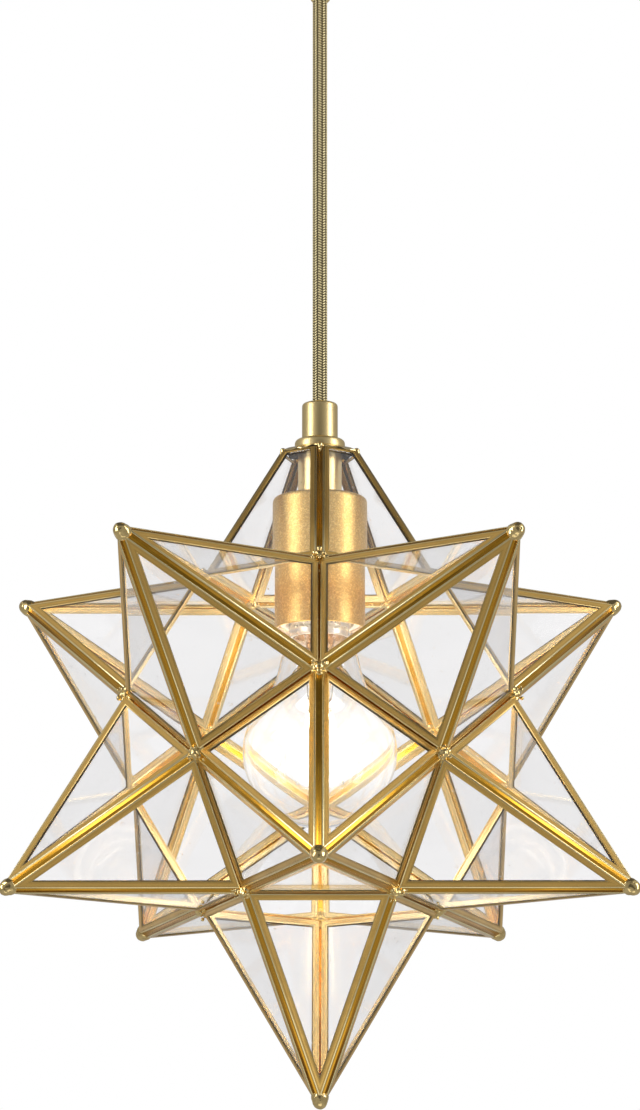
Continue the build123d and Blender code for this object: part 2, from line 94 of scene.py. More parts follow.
class StarSizes(bpy.types.PropertyGroup):
    """Sizes of the star, its channels and its solder."""
    star_radius: length("Star radius", "Centre of the star to the sharp end of a point", 144 * MM)
    channel_depth: length("Channel depth", "Front face to back face of a folded channel", 2.5 * MM)
    flange_width: length("Flange width", "How far a channel reaches over the glass", 2.9 * MM)
    fold_radius: length("Fold radius", "Rounding of a channel's folds", 0.55 * MM)
    channel_pocket: length("Channel pocket", "Room for the glass between the flanges", 1.8 * MM)
    seam_gap: length("Seam gap", "From a channel's web to its neighbour's, halved", 0.2 * MM)
    fill_depth: length("Fill depth", "Folds' crowns to the middle of the solder between them", 0.62 * MM)
    tip_radius: length("Tip radius", "Cap of solder at the end of a point", 3.0 * MM)
    tip_setback: length("Tip setback", "The cap's centre inside the sharp end", 1.7 * MM)
    joint_radius: length("Joint radius", "Bead of solder where the channels meet", 3.0 * MM)
    cap_radius: length("Cap radius", "Axis to a corner of the cap plate", 16.5 * MM)


class LampSizes(bpy.types.PropertyGroup):
    """Sizes of the stem, the socket cup and the lamp."""
    cup_wall: length("Cup wall", "Thickness of the socket cup", 1.0 * MM)
    cup_edge: length("Cup edge", "Rounding of the cup's upper edge", 2.2 * MM)
    neck_wall: length("Neck wall", "Thickness of the neck tube", 1.0 * MM)
    bore_radius: length("Bore radius", "Hole for the threaded nipple", 5.05 * MM)
    canopy_wall: length("Canopy wall", "Thickness of the canopy", 1.0 * MM)
    bulb_wall: length("Bulb wall", "Thickness of the lamp's glass", 0.8 * MM)
    bulb_neck_radius: length("Bulb neck radius", "The lamp's glass where it enters its base", 11.7 * MM)
    throat_radius: length("Throat radius", "The lamp's glass below its last curve into the base", 15.6 * MM)
    throat_drop: length("Throat drop", "That place below the base's rim", 7.5 * MM)
    thread_pitch: length("Thread pitch", "From turn to turn of the lamp's thread", 3.6 * MM)
    thread_depth: length("Thread depth", "Root to crest of the lamp's thread", 0.7 * MM)
    shell_depth: length("Shell depth", "Root to crest of the lampholder's thread", 0.3 * MM)
    filament_spread: length("Filament spread", "Axis to the filaments' lower ends", 8.6 * MM)


class CordSizes(bpy.types.PropertyGroup):
    """Sizes of the braided cord."""
    cord_radius: length("Cord radius", "Axis to the crown of the braid", 3.1 * MM)
    braid_pitch: length("Braid pitch", "From yarn to yarn along the cord", 1.1 * MM)
    braid_depth: length("Braid depth", "Crown of a yarn to the gap beside it", 0.38 * MM)
    braid_columns: IntProperty(name="Braid columns", description="Columns of yarns round the cord",
                               default=10, min=4)


class FinishColours(bpy.types.PropertyGroup):
    """Colours of the finishes."""
    channel: colour("Channels", "Brass of the folded channels", (0.95, 0.60, 0.17))
    # Deep orange seam solder: its own colour with a painted reflection of the brass walls.
    seam_solder_with_reflection: colour("Seams", "Solder drawn along between the channels", (0.94, 0.48, 0.045))
    # Paler inner faces, partly painted light from the lamp inside.
    channel_inside_with_lamp_light: colour("Channels inside", "Paler brass of the channels' inner faces", (0.98, 0.80, 0.44))
    # Painted highlight along the folds.
    channel_fold_highlight: colour("Folds", "Brass along the polished folds", (1.0, 0.88, 0.50))
    # Patina on the flange's edge; also painted shade in the seams and over the top point.
    channel_patina_and_shade: colour("Flange edges", "Patina along the flange's edge", (0.16, 0.09, 0.02))
    solder: colour("Solder", "Plated solder of the joints", (1.0, 0.76, 0.34))
    satin: colour("Stem", "Satin brass of collar, stem and canopy", (1.0, 0.77, 0.37))
    speckle: colour("Cup", "Fine speckled coat of the socket cup", (0.72, 0.45, 0.135))
    braid: colour("Braid", "Metallic yarn of the cord", (1.0, 0.80, 0.38))
    glass: colour("Glass", "Tint of the panes", (0.972, 0.968, 0.970))
    glow: colour("Glow", "Light of the filaments", (1.0, 0.93, 0.80))


# ---------------------------------------------------------------- node trees written as expressions
def operator(operation, reflected=False):
    """A method for one of Signal's operators, which adds a Math node."""
    def apply(self, other):
        return self.graph.math(operation, *((other, self) if reflected else (self, other)))
    return apply


class Signal:
    """One output socket. Its operators add Math nodes to its tree."""

    def __init__(self, graph, socket):
        self.graph = graph
        self.socket = socket

    __add__ = __radd__ = operator("ADD")
    __mul__ = __rmul__ = operator("MULTIPLY")
    __sub__ = operator("SUBTRACT")
    __rsub__ = operator("SUBTRACT", reflected=True)
    __truediv__ = operator("DIVIDE")
    __rtruediv__ = operator("DIVIDE", reflected=True)
    __mod__ = operator("FLOORED_MODULO")
    __pow__ = operator("POWER")

    def __abs__(self):
        return self.graph.math("ABSOLUTE", self)

    def out(self, name):
        """Another output of the same node."""
        return Signal(self.graph, self.graph.pick(self.socket.node.outputs, name))


class Graph:
    """A node tree that is written from expressions."""

    def __init__(self, tree):
        self.tree = tree

    def pick(self, sockets, name):
        """A socket by its place, its identifier or its name."""
        if isinstance(name, int):
            return sockets[name]
        for socket in sockets:
            if socket.identifier == name:
                return socket
        return sockets[name]

    def node(self, kind, values=None, output=0, **settings):
        """Add a node: its settings first, then the values or links of its sockets."""
        node = self.tree.nodes.new(kind)
        for name, value in settings.items():
            setattr(node, name, value)
        for name, value in (values or {}).items():
            socket = self.pick(node.inputs, name)
            if isinstance(value, Signal):
                self.tree.links.new(value.socket, socket)
            elif socket.type == "RGBA" and len(value) == 3:
                socket.default_value = (*value, 1)
            else:
                socket.default_value = value
        return Signal(self, self.pick(node.outputs, output)) if node.outputs else node

    def math(self, operation, *values):
        return self.node("ShaderNodeMath", dict(enumerate(values)), operation=operation)

    def between(self, value, low, high):
        """0 at low, 1 at high, smooth in between and level beyond."""
        values = {"Value": value, "From Min": low, "From Max": high}
        return self.node("ShaderNodeMapRange", values, interpolation_type="SMOOTHSTEP")

    def along(self, vector, axis):
        """A vector's part along X, Y or Z."""
        return self.node("ShaderNodeSeparateXYZ", {"Vector": vector}, axis)


class Finish(Graph):
    """A material's tree, with the few forms that the finishes share."""

    def __init__(self, name):
        self.material = bpy.data.materials.new(name)
        self.material.use_nodes = True
        super().__init__(self.material.node_tree)
        self.tree.nodes.clear()
        self.place = self.node("ShaderNodeTexCoord", output="Object")

    def noise(self, scale, detail=2.0, vector=None):
        """Noise from 0 to 1 whose features are about 1 / scale metres across."""
        values = {"Vector": vector or self.place, "Scale": scale, "Detail": detail}
        return self.node("ShaderNodeTexNoise", values)

    def drawn(self, scales, detail, vector=None):
        """Noise with its own scale along each axis, such as lines or rings."""
        stretched = self.node("ShaderNodeMapping", {"Vector": vector or self.place, "Scale": scales})
        return self.noise(1, detail, stretched)

    def cells(self, scale):
        """A random value for each small cell."""
        return self.node("ShaderNodeTexVoronoi", {"Vector": self.place, "Scale": scale}, "Color")

    def attribute(self, name):
        return self.node("ShaderNodeAttribute", output="Fac", attribute_name=name)

    def mix(self, factor, first, second):
        """From one colour to another."""
        values = {"Factor_Float": factor, "A_Color": first, "B_Color": second}
        return self.node("ShaderNodeMix", values, "Result_Color", data_type="RGBA")

    def bump(self, height, depth, strength):
        """A normal that rises by depth metres where height is 1."""
        return self.node("ShaderNodeBump", {"Height": height, "Distance": depth, "Strength": strength})

    def surface(self, body, roughness, normal, metallic=1.0, **others):
        """A Principled shader. The others are named as its sockets are, in small letters."""
        values = {"Base Color": body, "Roughness": roughness, "Normal": normal, "Metallic": metallic}
        values.update({name.replace("_", " ").title(): value for name, value in others.items()})
        return self.node("ShaderNodeBsdfPrincipled", values)

    def of_one_pattern(self, pattern, light, dark, roughness, depth, strength=0.5, metallic=1.0):
        """A shader whose colour, roughness (from and by how much) and relief follow one pattern."""
        smooth, spread = roughness
        return self.surface(self.mix(pattern, light, dark), smooth + spread * pattern,
                            self.bump(pattern, depth, strength), metallic)

    def glass(self, tint, normal, passing_tint, **others):
        """Clear glass that the lamps' light goes straight through."""
        seen = self.surface(tint, 0.0, normal, 0.0, transmission_weight=1.0, **others)
        seen.socket.node.inputs["IOR"].default_value = 1.5
        passing = self.node("ShaderNodeBsdfTransparent", {"Color": passing_tint})
        shadow = self.node("ShaderNodeLightPath", output="Is Shadow Ray")
        return self.node("ShaderNodeMixShader", {0: shadow, 1: seen, 2: passing})

    def done(self, shader):
        """Use this shader as the surface and give the material back."""
        self.node("ShaderNodeOutputMaterial", {"Surface": shader})
        return self.material


def shaded(tone, share):
    """A colour made darker, to this share of itself."""
    return [part * share for part in tone]


# ---------------------------------------------------------------- finishes
MAKERS = {}
FINISHES = {}
TOP_SHADE_FROM = 47.2 * MM  # below the cap plate, where the painted shade over the top point's channels starts
TOP_SHADE_FULLY = 25.2 * MM  # below the cap plate, where that painted shade is full


def maker(build):
    """Note down a function that builds the shader of the finish it is named after."""
    MAKERS[build.__name__] = build
    return build


def finish_of(name):
    """The material of a finish, made once."""
    if name not in FINISHES:
        finish = Finish(name)
        FINISHES[name] = finish.done(MAKERS[name](finish, bpy.context.scene.pendant_colours))
    return FINISHES[name]


@maker
def channel_brass(finish, colours):
    """Rolled brass: patches of tone and lines along the strip, with painted highlights on the folds, patina
    on the flange edges with painted shade in the seams' hollows, deep orange seam solder with a painted
    reflection, paler inner faces with painted lamp light, and painted shade over the top point.
    """
    patches = finish.noise(55, 3)
    lines = finish.drawn((12, 900, 1), 2, finish.node("ShaderNodeUVMap", uv_map="strip"))
    dull = finish.attribute("patina_and_shade")
    tone = finish.between(patches, 0.3, 0.75)
    body = finish.mix(tone * 0.45 + lines * 0.35, colours.channel, shaded(colours.channel, 0.68))
    # Paler inner faces: partly paler brass, partly painted light from the lamp inside the star.
    body = finish.mix(finish.attribute("inside") * 0.85, body, colours.channel_inside_with_lamp_light)
    # Seam solder in deep orange: partly the solder's own colour, partly a painted reflection of the brass
    # walls beside it.
    body = finish.mix(finish.attribute("solder") * (1.1 - 0.3 * tone), body, colours.seam_solder_with_reflection)
    # Painted highlight: pale brass along the folds and the rolled flange edge.
    body = finish.mix(finish.attribute("painted_highlight") * 0.95, body, colours.channel_fold_highlight)
    # Patina on the flange's edge, and painted shade in the seam's hollow.
    body = finish.mix(dull * (0.55 + 0.4 * patches), body, colours.channel_patina_and_shade)
    # Painted shade: the top point's channels are darkened towards the cap plate.
    cap = foot_of("cap_plate")
    height = finish.along(finish.place, "Z") + 0.012 * patches
    top_shade = finish.between(height, cap - TOP_SHADE_FROM, cap - TOP_SHADE_FULLY)
    body = finish.mix(top_shade * 0.6, body, colours.channel_patina_and_shade)
    normal = finish.bump(finish.noise(160, 1) + 0.15 * lines, 0.1 * MM, 0.6)
    return finish.surface(body, 0.15 + 0.07 * tone + 0.07 * lines + 0.2 * dull, normal)


@maker
def solder_brass(finish, colours):
    """Plated solder: bright, with small hammered facets and darker hollows."""
    facets = finish.node("ShaderNodeTexVoronoi", {"Vector": finish.place, "Scale": 700, "Smoothness": 0.6},
                         feature="SMOOTH_F1")
    patches = finish.noise(420, 3)
    tone = finish.between(patches, 0.35, 0.7)
    body = finish.mix(tone * 0.5, colours.solder, shaded(colours.solder, 0.6))
    return finish.surface(body, 0.07 + 0.12 * tone, finish.bump(facets + patches * 0.6, 0.22 * MM, 0.6))


@maker
def satin_brass(finish, colours):
    """Lacquered satin brass, turned: fine rings round the axis and a soft mottle."""
    rings = finish.drawn((60, 60, 4200), 3)
    mottle = finish.noise(900, 2)
    body = finish.mix(0.35 * rings + 0.35 * mottle, colours.satin, shaded(colours.satin, 0.78))
    return finish.surface(body, 0.3 + 0.08 * mottle, finish.bump(mottle + 0.4 * rings, 0.03 * MM, 0.6))


@maker
def speckled_gold(finish, colours):
    """Metallic powder coat: fine bright flakes in a satin gold ground, with a slight orange peel."""
    grain = finish.noise(2300, 2)
    flake = finish.between(finish.cells(2200), 0.5, 0.85)
    light = [min(1.0, part * 1.5 + 0.08) for part in colours.speckle]
    body = finish.mix(finish.between(grain, 0.38, 0.66), shaded(colours.speckle, 0.8), colours.speckle)
    body = finish.mix(flake * 0.55, body, light)
    normal = finish.bump(grain * 0.8 + flake * 0.5 + finish.noise(500, 2) * 0.3, 0.03 * MM, 0.5)
    return finish.surface(body, 0.34 + 0.12 * grain - 0.08 * flake, normal, 0.94)


@maker
def cup_liner(finish, colours):
    """Bare drawn metal inside the cup, pale and pinkish."""
    return finish.of_one_pattern(finish.drawn((40, 40, 2600), 2), (0.86, 0.72, 0.62), (0.66, 0.52, 0.42),
                                 (0.22, 0.15), 0.04 * MM)


@maker
def dull_underside(finish, colours):
    """The cap plate's underside: a near-black grey, mottled."""
    return finish.of_one_pattern(finish.noise(260, 4), (0.02, 0.02, 0.02), (0.10, 0.09, 0.08),
                                 (0.42, 0.2), 0.1 * MM, metallic=0.4)


@maker
def lead_plastic(finish, colours):
    """Soft insulation of the inner leads."""
    return finish.of_one_pattern(finish.noise(600, 3), (0.10, 0.09, 0.08), (0.17, 0.15, 0.13),
                                 (0.42, 0.12), 0.05 * MM, 0.4, metallic=0.0)


@maker
def plated_steel(finish, colours):
    """Zinc-plated steel with faint crystals and rolling lines."""
    lines = finish.drawn((90, 2200, 900), 2)
    tone = finish.between(finish.cells(260), 0.2, 0.9)
    body = finish.mix(0.5 * tone + 0.3 * lines, (0.62, 0.61, 0.58), (0.42, 0.41, 0.40))
    return finish.surface(body, 0.3 + 0.15 * tone, finish.bump(lines, 0.03 * MM, 0.5))


@maker
def porcelain(finish, colours):
    """Glazed cream porcelain with small pits in the glaze."""
    cloud = finish.noise(120, 3)
    pits = finish.between(finish.noise(1400, 1), 0.68, 0.8)
    body = finish.mix(cloud, (0.84, 0.80, 0.72), (0.74, 0.69, 0.60))
    body = finish.mix(pits * 0.6, body, (0.42, 0.36, 0.28))
    return finish.surface(body, 0.18 + 0.2 * pits, finish.bump(cloud - pits, 0.08 * MM, 0.4), 0.0,
                          coat_weight=0.4, coat_roughness=0.08)


@maker
def lamp_base(finish, colours):
    """The lamp's thin rolled screw shell: bright, tarnished in the roots."""
    tarnish = finish.noise(220, 4)
    body = finish.mix(finish.between(tarnish, 0.45, 0.8) * 0.6, (0.86, 0.84, 0.80), (0.60, 0.50, 0.38))
    normal = finish.bump(finish.drawn((50, 50, 3000), 2), 0.03 * MM, 0.5)
    return finish.surface(body, 0.2 + 0.16 * tarnish, normal)


@maker
def lamp_contact(finish, colours):
    """Black glass insulator round a tinned contact."""
    x, y = (finish.along(finish.place, axis) for axis in "XY")
    metal = 1 - finish.between((x * x + y * y) ** 0.5, 4.7 * MM, 5.1 * MM)
    smear = finish.noise(700, 3)
    body = finish.mix(smear, (0.70, 0.68, 0.64), (0.50, 0.47, 0.42))
    body = finish.mix(metal, (0.02, 0.02, 0.025), body)
    return finish.surface(body, 0.25 + 0.15 * smear, finish.bump(smear, 0.1 * MM, 0.5), metal)


@maker
def braid(finish, colours):
    """Metallic yarn: painted highlights on the crowns, painted shade in the gaps, and fine filaments."""
    crown = finish.attribute("weave")
    fibre = finish.noise(3800, 2)
    # Painted shade: the gaps between the yarns are darkened to nearly black.
    body = finish.mix(finish.between(crown, 0.4, 0.8), shaded(colours.braid, 0.05), colours.braid)
    # Painted highlight: the crowns of the yarns are made pale.
    body = finish.mix(finish.between(crown, 0.6, 0.95) * 0.8, body, (1.0, 0.93, 0.58))
    body = finish.mix(0.2 * fibre, body, shaded(colours.braid, 0.5))
    return finish.surface(body, 0.36 + 0.2 * fibre, finish.bump(fibre, 0.05 * MM, 0.6), 0.4)


@maker
def clear_glass(finish, colours):
    """Drawn sheet glass: a grey tint, slight waves, faint smears and a few seeds."""
    smears = finish.between(finish.drawn((16, 60, 30), 3), 0.45, 0.8)
    seeds = finish.between(finish.noise(520, 0), 0.83, 0.86)
    tint = finish.mix(smears * 0.5 + seeds, colours.glass, shaded(colours.glass, 0.93))
    normal = finish.bump(finish.noise(34, 1) + seeds * 0.4, 0.12 * MM, 0.35)
    return finish.glass(tint, normal, shaded(colours.glass, 0.97))


@maker
def lamp_glass(finish, colours):
    """Clear blown glass, lit from inside, with a painted glow that is warm near the filaments, coppered at
    its base.
    """
    seeds = finish.between(finish.noise(700, 0), 0.8, 0.84)
    height = finish.along(finish.place, "Z")
    heart = (foot_of("bulb_filaments") + top_of("bulb_filaments")) / 2
    # Painted glow: the glass itself gives off a little light around the filaments' height.
    near = 1 - finish.between(abs(height - heart), 3 * MM, 26 * MM)
    glow = finish.mix(near, (0.0, 0.0, 0.0), (1.0, 0.94, 0.84))
    rim = foot_of("bulb_base")
    coppered = finish.between(height, rim - 6 * MM, rim - 4 * MM)
    tint = finish.mix(seeds * 0.6, (0.97, 0.97, 0.97), (0.85, 0.84, 0.82))
    tint = finish.mix(coppered * 0.8, tint, (0.97, 0.84, 0.68))
    normal = finish.bump(finish.noise(60, 1), 0.1 * MM, 0.3)
    return finish.glass(tint, normal, (0.97, 0.97, 0.96), emission_color=glow, emission_strength=0.1)


@maker
def filament(finish, colours):
    """Glowing phosphor, uneven along its length."""
    grain = finish.noise(900, 3)
    warm = finish.mix(grain, colours.glow, [min(1.0, part * 1.15) for part in colours.glow])
    return finish.surface((0.9, 0.7, 0.3), 0.5, finish.bump(grain, 0.1 * MM, 0.4), 0.0,
                          emission_color=warm, emission_strength=9.0)


# ---------------------------------------------------------------- meshes
def new_piece(name, mesh, slot, body, *nodes):
    """A finished mesh as a piece of the pendant: what it rides on and the nodes it stands for. Its slot is
    not used.
    """
    piece = bpy.data.objects.new(name, mesh)
    bpy.context.scene.collection.objects.link(piece)
    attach(piece, body)
    if nodes:
        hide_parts(*nodes)
    return piece


def closed_mesh(name, verts, faces, finish, sharp=35):
    """A mesh with its faces outwards, smooth but for sharp edges."""
    mesh = bpy.data.meshes.new(name)
    mesh.from_pydata([tuple(v) for v in verts], [], faces)
    outward = bmesh.new()
    outward.from_mesh(mesh)
    bmesh.ops.recalc_face_normals(outward, faces=outward.faces)
    outward.to_mesh(mesh)
    outward.free()
    mesh.materials.append(finish_of(finish))
    mesh.shade_smooth()
    mesh.set_sharp_from_angle(angle=math.radians(sharp))
    return mesh


def finish_inside(mesh, finish, is_inside):
    """Give the faces for which is_inside(face) is true a second finish."""
    mesh.materials.append(finish_of(finish))
    for face in mesh.polygons:
        if is_inside(face):
            face.material_index = 1


def cut_away(mesh, place, normal):
    """Cut off what lies beyond a plane, and close the cut."""
    cutting = bmesh.new()
    cutting.from_mesh(mesh)
    everything = cutting.verts[:] + cutting.edges[:] + cutting.faces[:]
    cut = bmesh.ops.bisect_plane(cutting, geom=everything, plane_co=place, plane_no=normal, clear_outer=True)
    edges = [e for e in cut["geom_cut"] if isinstance(e, bmesh.types.BMEdge)]
    bmesh.ops.holes_fill(cutting, edges=edges, sides=0)
    cutting.to_mesh(mesh)
    cutting.free()


def softened(corners, steps=5):
    """An outline whose (r, z, rounding) corners are rounded by that distance along their sides."""
    outline = []
    for index, (r, z, rounding) in enumerate(corners):
        corner = Vector((r, z))
        if rounding == 0:
            outline.append(corner)
            continue
        before = Vector(corners[index - 1][:2])
        after = Vector(corners[(index + 1) % len(corners)][:2])
        start = corner + (before - corner).normalized() * rounding
        end = corner + (after - corner).normalized() * rounding
        for step in range(steps + 1):
            t = step / steps
            outline.append(start * (1 - t) ** 2 + corner * 2 * t * (1 - t) + end * t**2)
    return outline


def lathe(outline, steps=120, centre=(0, 0), shift=None):
    """Verts and faces of a closed (r, z) outline turned round an upright axis. shift(r, z, angle) may
    move a point in or out."""
    verts, faces, rings = [], [], []
    for r, z in outline:
        first = len(verts)
        if r < 1e-7:
            verts.append((centre[0], centre[1], z))
            rings.append([first] * steps)
            continue
        for step in range(steps):
            angle = TAU * step / steps
            reach = r + (shift(r, z, angle) if shift else 0)
            verts.append((centre[0] + reach * math.sin(angle), centre[1] - reach * math.cos(angle), z))
        rings.append(list(range(first, first + steps)))
    for low, high in zip(rings, rings[1:] + rings[:1]):
        for step in range(steps):
            following = (step + 1) % steps
            corners = list(dict.fromkeys([low[step], low[following], high[following], high[step]]))
            if len(corners) > 2:
                faces.append(corners)
    return verts, faces


def turned_piece(name, corners, finish, body, node, steps=120, rounding_steps=5):
    """A piece turned from (r, z, rounding) corners, which stands for one node."""
    mesh = closed_mesh(name, *lathe(softened(corners, rounding_steps), steps), finish)
    new_piece(name, mesh, finish, body, node)


def gathered(parts):
    """Several (verts, faces) as one."""
    verts, faces = [], []
    for part_verts, part_faces in parts:
        start = len(verts)
        verts += part_verts
        faces += [[start + index for index in face] for face in part_faces]
    return verts, faces


def rod(start, end, radius, steps=20, rounds=4):
    """Verts and faces of a rod with rounded ends between two points."""
    start, end = Vector(start), Vector(end)
    reach = (end - start).length
    angles = [math.pi / 2 * number / rounds for number in range(1, rounds + 1)]
    outline = [(0, 0)] + [(radius * math.sin(a), radius * (1 - math.cos(a))) for a in angles]
    outline += [(r, reach - z) for r, z in reversed(outline[1:])] + [(0, reach)]
    verts, faces = lathe(outline, steps)
    turn = (end - start).to_track_quat("Z", "Y").to_matrix()
    return [start + turn @ Vector(v) for v in verts], faces


# ---------------------------------------------------------------- Geometry Nodes
def geometry_tree(name, **inputs):
    """A Geometry Nodes tree with named inputs: the graph and a signal for each input."""
    tree = bpy.data.node_groups.new(name, "GeometryNodeTree")
    tree.interface.new_socket("Geometry", in_out="INPUT", socket_type="NodeSocketGeometry")
    tree.interface.new_socket("Geometry", in_out="OUTPUT", socket_type="NodeSocketGeometry")
    for label, kind in inputs.items():
        tree.interface.new_socket(label.replace("_", " "), in_out="INPUT", socket_type="NodeSocket" + kind)
    graph = Graph(tree)
    source = tree.nodes.new("NodeGroupInput")
    return graph, {socket.name: Signal(graph, socket) for socket in source.outputs if socket.name}


def close_tree(graph, geometry, finish):
    """End a tree in Realize Instances and Set Material."""
    real = graph.node("GeometryNodeRealizeInstances", {"Geometry": geometry})
    done = graph.node("GeometryNodeSetMaterial", {"Geometry": real, "Material": finish_of(finish)})
    graph.node("NodeGroupOutput", {"Geometry": done})
    return graph.tree


def grown_mesh(name, seed_mesh, tree, values):
    """The plain mesh that a tree grows from a mesh."""
    seed = bpy.data.objects.new(name + "_seed", seed_mesh)
    bpy.context.scene.collection.objects.link(seed)
    modifier = seed.modifiers.new(name, "NODES")
    modifier.node_group = tree
    for item in tree.interface.items_tree:
        if item.name in values:
            modifier[item.identifier] = values[item.name]
    scene_graph = bpy.context.evaluated_depsgraph_get()
    mesh = bpy.data.meshes.new_from_object(seed.evaluated_get(scene_graph), preserve_all_data_layers=True,
                                           depsgraph=scene_graph)
    mesh.name = name
    seed.modifiers.clear()
    bpy.data.objects.remove(seed)
    return mesh


def turning(graph, **angles):
    """A rotation about one axis."""
    euler = graph.node("ShaderNodeCombineXYZ", angles)
    return graph.node("FunctionNodeEulerToRotation", {0: euler})


def store(graph, geometry, name, value):
    """Keep a number under a name at every point."""
    values = {"Geometry": geometry, "Name": name, "Value": value}
    return graph.node("GeometryNodeStoreNamedAttribute", values, data_type="FLOAT", domain="POINT")


def stored(graph, name):
    return graph.node("GeometryNodeInputNamedAttribute", {"Name": name}, data_type="FLOAT")


def raised(graph, geometry, height):
    """The surface moved out along its normals, shaded smooth."""
    normal = graph.node("GeometryNodeInputNormal")
    rise = graph.node("ShaderNodeVectorMath", {"Vector": normal, "Scale": height}, operation="SCALE")
    moved = graph.node("GeometryNodeSetPosition", {"Geometry": geometry, "Offset": rise})
    return graph.node("GeometryNodeSetShadeSmooth", {"Geometry": moved})


def panes_tree():
    """One pane, stood on its base edge and repeated round a point's axis."""
    graph, given = geometry_tree("panes_round_a_point", Panes="Int", Lean="Float", Apothem="Float",
                                 Base_Height="Float", Turn="Vector", Centre="Vector")
    foot = graph.node("ShaderNodeCombineXYZ", {"Y": given["Apothem"] * -1, "Z": given["Base Height"]})
    stood = graph.node("GeometryNodeTransform", {
        "Geometry": given["Geometry"], "Translation": foot, "Rotation": turning(graph, X=given["Lean"])})
    places = graph.node("GeometryNodeMeshLine", {"Count": given["Panes"], "Offset": (0, 0, 0)})
    step = graph.node("GeometryNodeInputIndex") * (TAU / given["Panes"])
    ring = graph.node("GeometryNodeInstanceOnPoints", {
        "Points": places, "Instance": stood, "Rotation": turning(graph, Z=step)})
    ring = graph.node("GeometryNodeRealizeInstances", {"Geometry": ring})
    pointed = graph.node("FunctionNodeEulerToRotation", {0: given["Turn"]})
    placed = graph.node("GeometryNodeTransform", {
        "Geometry": ring, "Translation": given["Centre"], "Rotation": pointed})
    return close_tree(graph, placed, "channel_brass")


def solder_tree():
    """Beads on points, run together and hammered."""
    graph, given = geometry_tree("solder_beads", Bead_Radius="Float", Voxel="Float", Lump_Height="Float",
                                 Lump_Scale="Float", Seed="Float")
    bead = graph.node("GeometryNodeMeshIcoSphere", {"Radius": given["Bead Radius"], "Subdivisions": 4})
    beads = graph.node("GeometryNodeInstanceOnPoints", {
        "Points": given["Geometry"], "Instance": bead, "Scale": stored(graph, "size")})
    beads = graph.node("GeometryNodeRealizeInstances", {"Geometry": beads})
    fog = graph.node("GeometryNodeMeshToVolume", {
        "Mesh": beads, "Voxel Size": given["Voxel"], "Interior Band Width": 0.6 * MM},
        resolution_mode="VOXEL_SIZE")
    run = graph.node("GeometryNodeVolumeToMesh", {
        "Volume": fog, "Voxel Size": given["Voxel"], "Threshold": 0.15}, resolution_mode="VOXEL_SIZE")
    lumps = graph.node("ShaderNodeTexNoise", {
        "Vector": graph.node("GeometryNodeInputPosition"), "W": given["Seed"], "Scale": given["Lump Scale"],
        "Detail": 2.0}, noise_dimensions="4D")
    hammered = raised(graph, run, (lumps - 0.5) * given["Lump Height"])
    return close_tree(graph, hammered, "solder_brass")


def braid_tree():
    """A tube along a route, raised into herringbone columns of yarn."""
    graph, given = geometry_tree("braided_cord", Radius="Float", Columns="Int", Pitch="Float", Depth="Float",
                                 Ring_Spacing="Float", Segments="Int")
    route = graph.node("GeometryNodeMeshToCurve", {"Mesh": given["Geometry"]})
    route = graph.node("GeometryNodeResampleCurve", {"Curve": route, "Length": given["Ring Spacing"]},
                       mode="LENGTH")
    spline = graph.node("GeometryNodeSplineParameter")
    route = store(graph, route, "along", spline.out("Length"))
    ring = graph.node("GeometryNodeCurvePrimitiveCircle", {
        "Resolution": given["Segments"], "Radius": given["Radius"]})
    ring = store(graph, ring, "around", spline.out("Factor"))
    tube = graph.node("GeometryNodeCurveToMesh", {"Curve": route, "Profile Curve": ring, "Fill Caps": True})
    column = stored(graph, "around") * given["Columns"]
    across = column % 1.0
    lean = ((column - across) % 2.0) * 2.0 - 1.0
    phase = stored(graph, "along") / given["Pitch"] + lean * across * 0.8
    yarn = abs(graph.math("SINE", phase * math.pi))
    weave = yarn * graph.math("SINE", across * math.pi) ** 0.4
    tube = store(graph, tube, "weave", weave)
    return close_tree(graph, raised(graph, tube, (weave - 1.0) * given["Depth"]), "braid")


def beads_mesh(name, beads, tree, **values):
    """Solder grown from beads, which are (place, size)."""
    mesh = bpy.data.meshes.new(name)
    mesh.from_pydata([tuple(place) for place, size in beads], [], [])
    layer = mesh.attributes.new("size", "FLOAT", "POINT")
    layer.data.foreach_set("value", [size for place, size in beads])
    return grown_mesh(name, mesh, tree, {label.replace("_", " "): value for label, value in values.items()})


# ---------------------------------------------------------------- where the star's points are
GOLDEN = (1 + math.sqrt(5)) / 2
HALF_APEX = math.radians(18)
HALF_BASE = math.radians(36)
PANE_LEAN = math.atan(0.5)
WEB_HALF_ANGLE = math.atan(1 / GOLDEN)
WEB_ANGLE = math.pi / 2 - WEB_HALF_ANGLE
CUT_FLANGE = 0.35  # a channel's flange under the cap plate is this much of the others' width
TIP_BALL_REACH = 2.4 * MM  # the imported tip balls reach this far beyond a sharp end
PLATE_GAP = 0.1 * MM  # under the cap plate
SEAM_OVERLAP = 0.01 * MM  # of the solder's halves, so that no light comes through between them
DOOR_SEAM = 0.03 * MM  # how far the door's solder stops short of the plane between it and its neighbours
DOOR_GAP = 0.1 * MM  # from the door's base to the solder that is cut off beside it
ROW_WIDTH = 0.4 * MM  # across the strip's map, from one row of a channel's section to the next


def direction(azimuth, elevation):
    """Unit vector; azimuth 0 is the front, -Y, and grows towards +X."""
    turn = math.radians(azimuth)
    level = math.cos(elevation)
    return Vector((level * math.sin(turn), -level * math.cos(turn), math.sin(elevation)))


POINTS = {
    "top": Vector((0, 0, 1)),
    "upper_front_left": direction(-36, PANE_LEAN),
    "upper_front_right": direction(36, PANE_LEAN),
    "upper_right": direction(108, PANE_LEAN),
    "upper_left": direction(-108, PANE_LEAN),
    "door": direction(180, PANE_LEAN),
    "lower_front": direction(0, -PANE_LEAN),
    "lower_right": direction(72, -PANE_LEAN),
    "lower_rear_right": direction(144, -PANE_LEAN),
    "lower_rear_left": direction(-144, -PANE_LEAN),
    "lower_left": direction(-72, -PANE_LEAN),
    "bottom": Vector((0, 0, -1)),
}


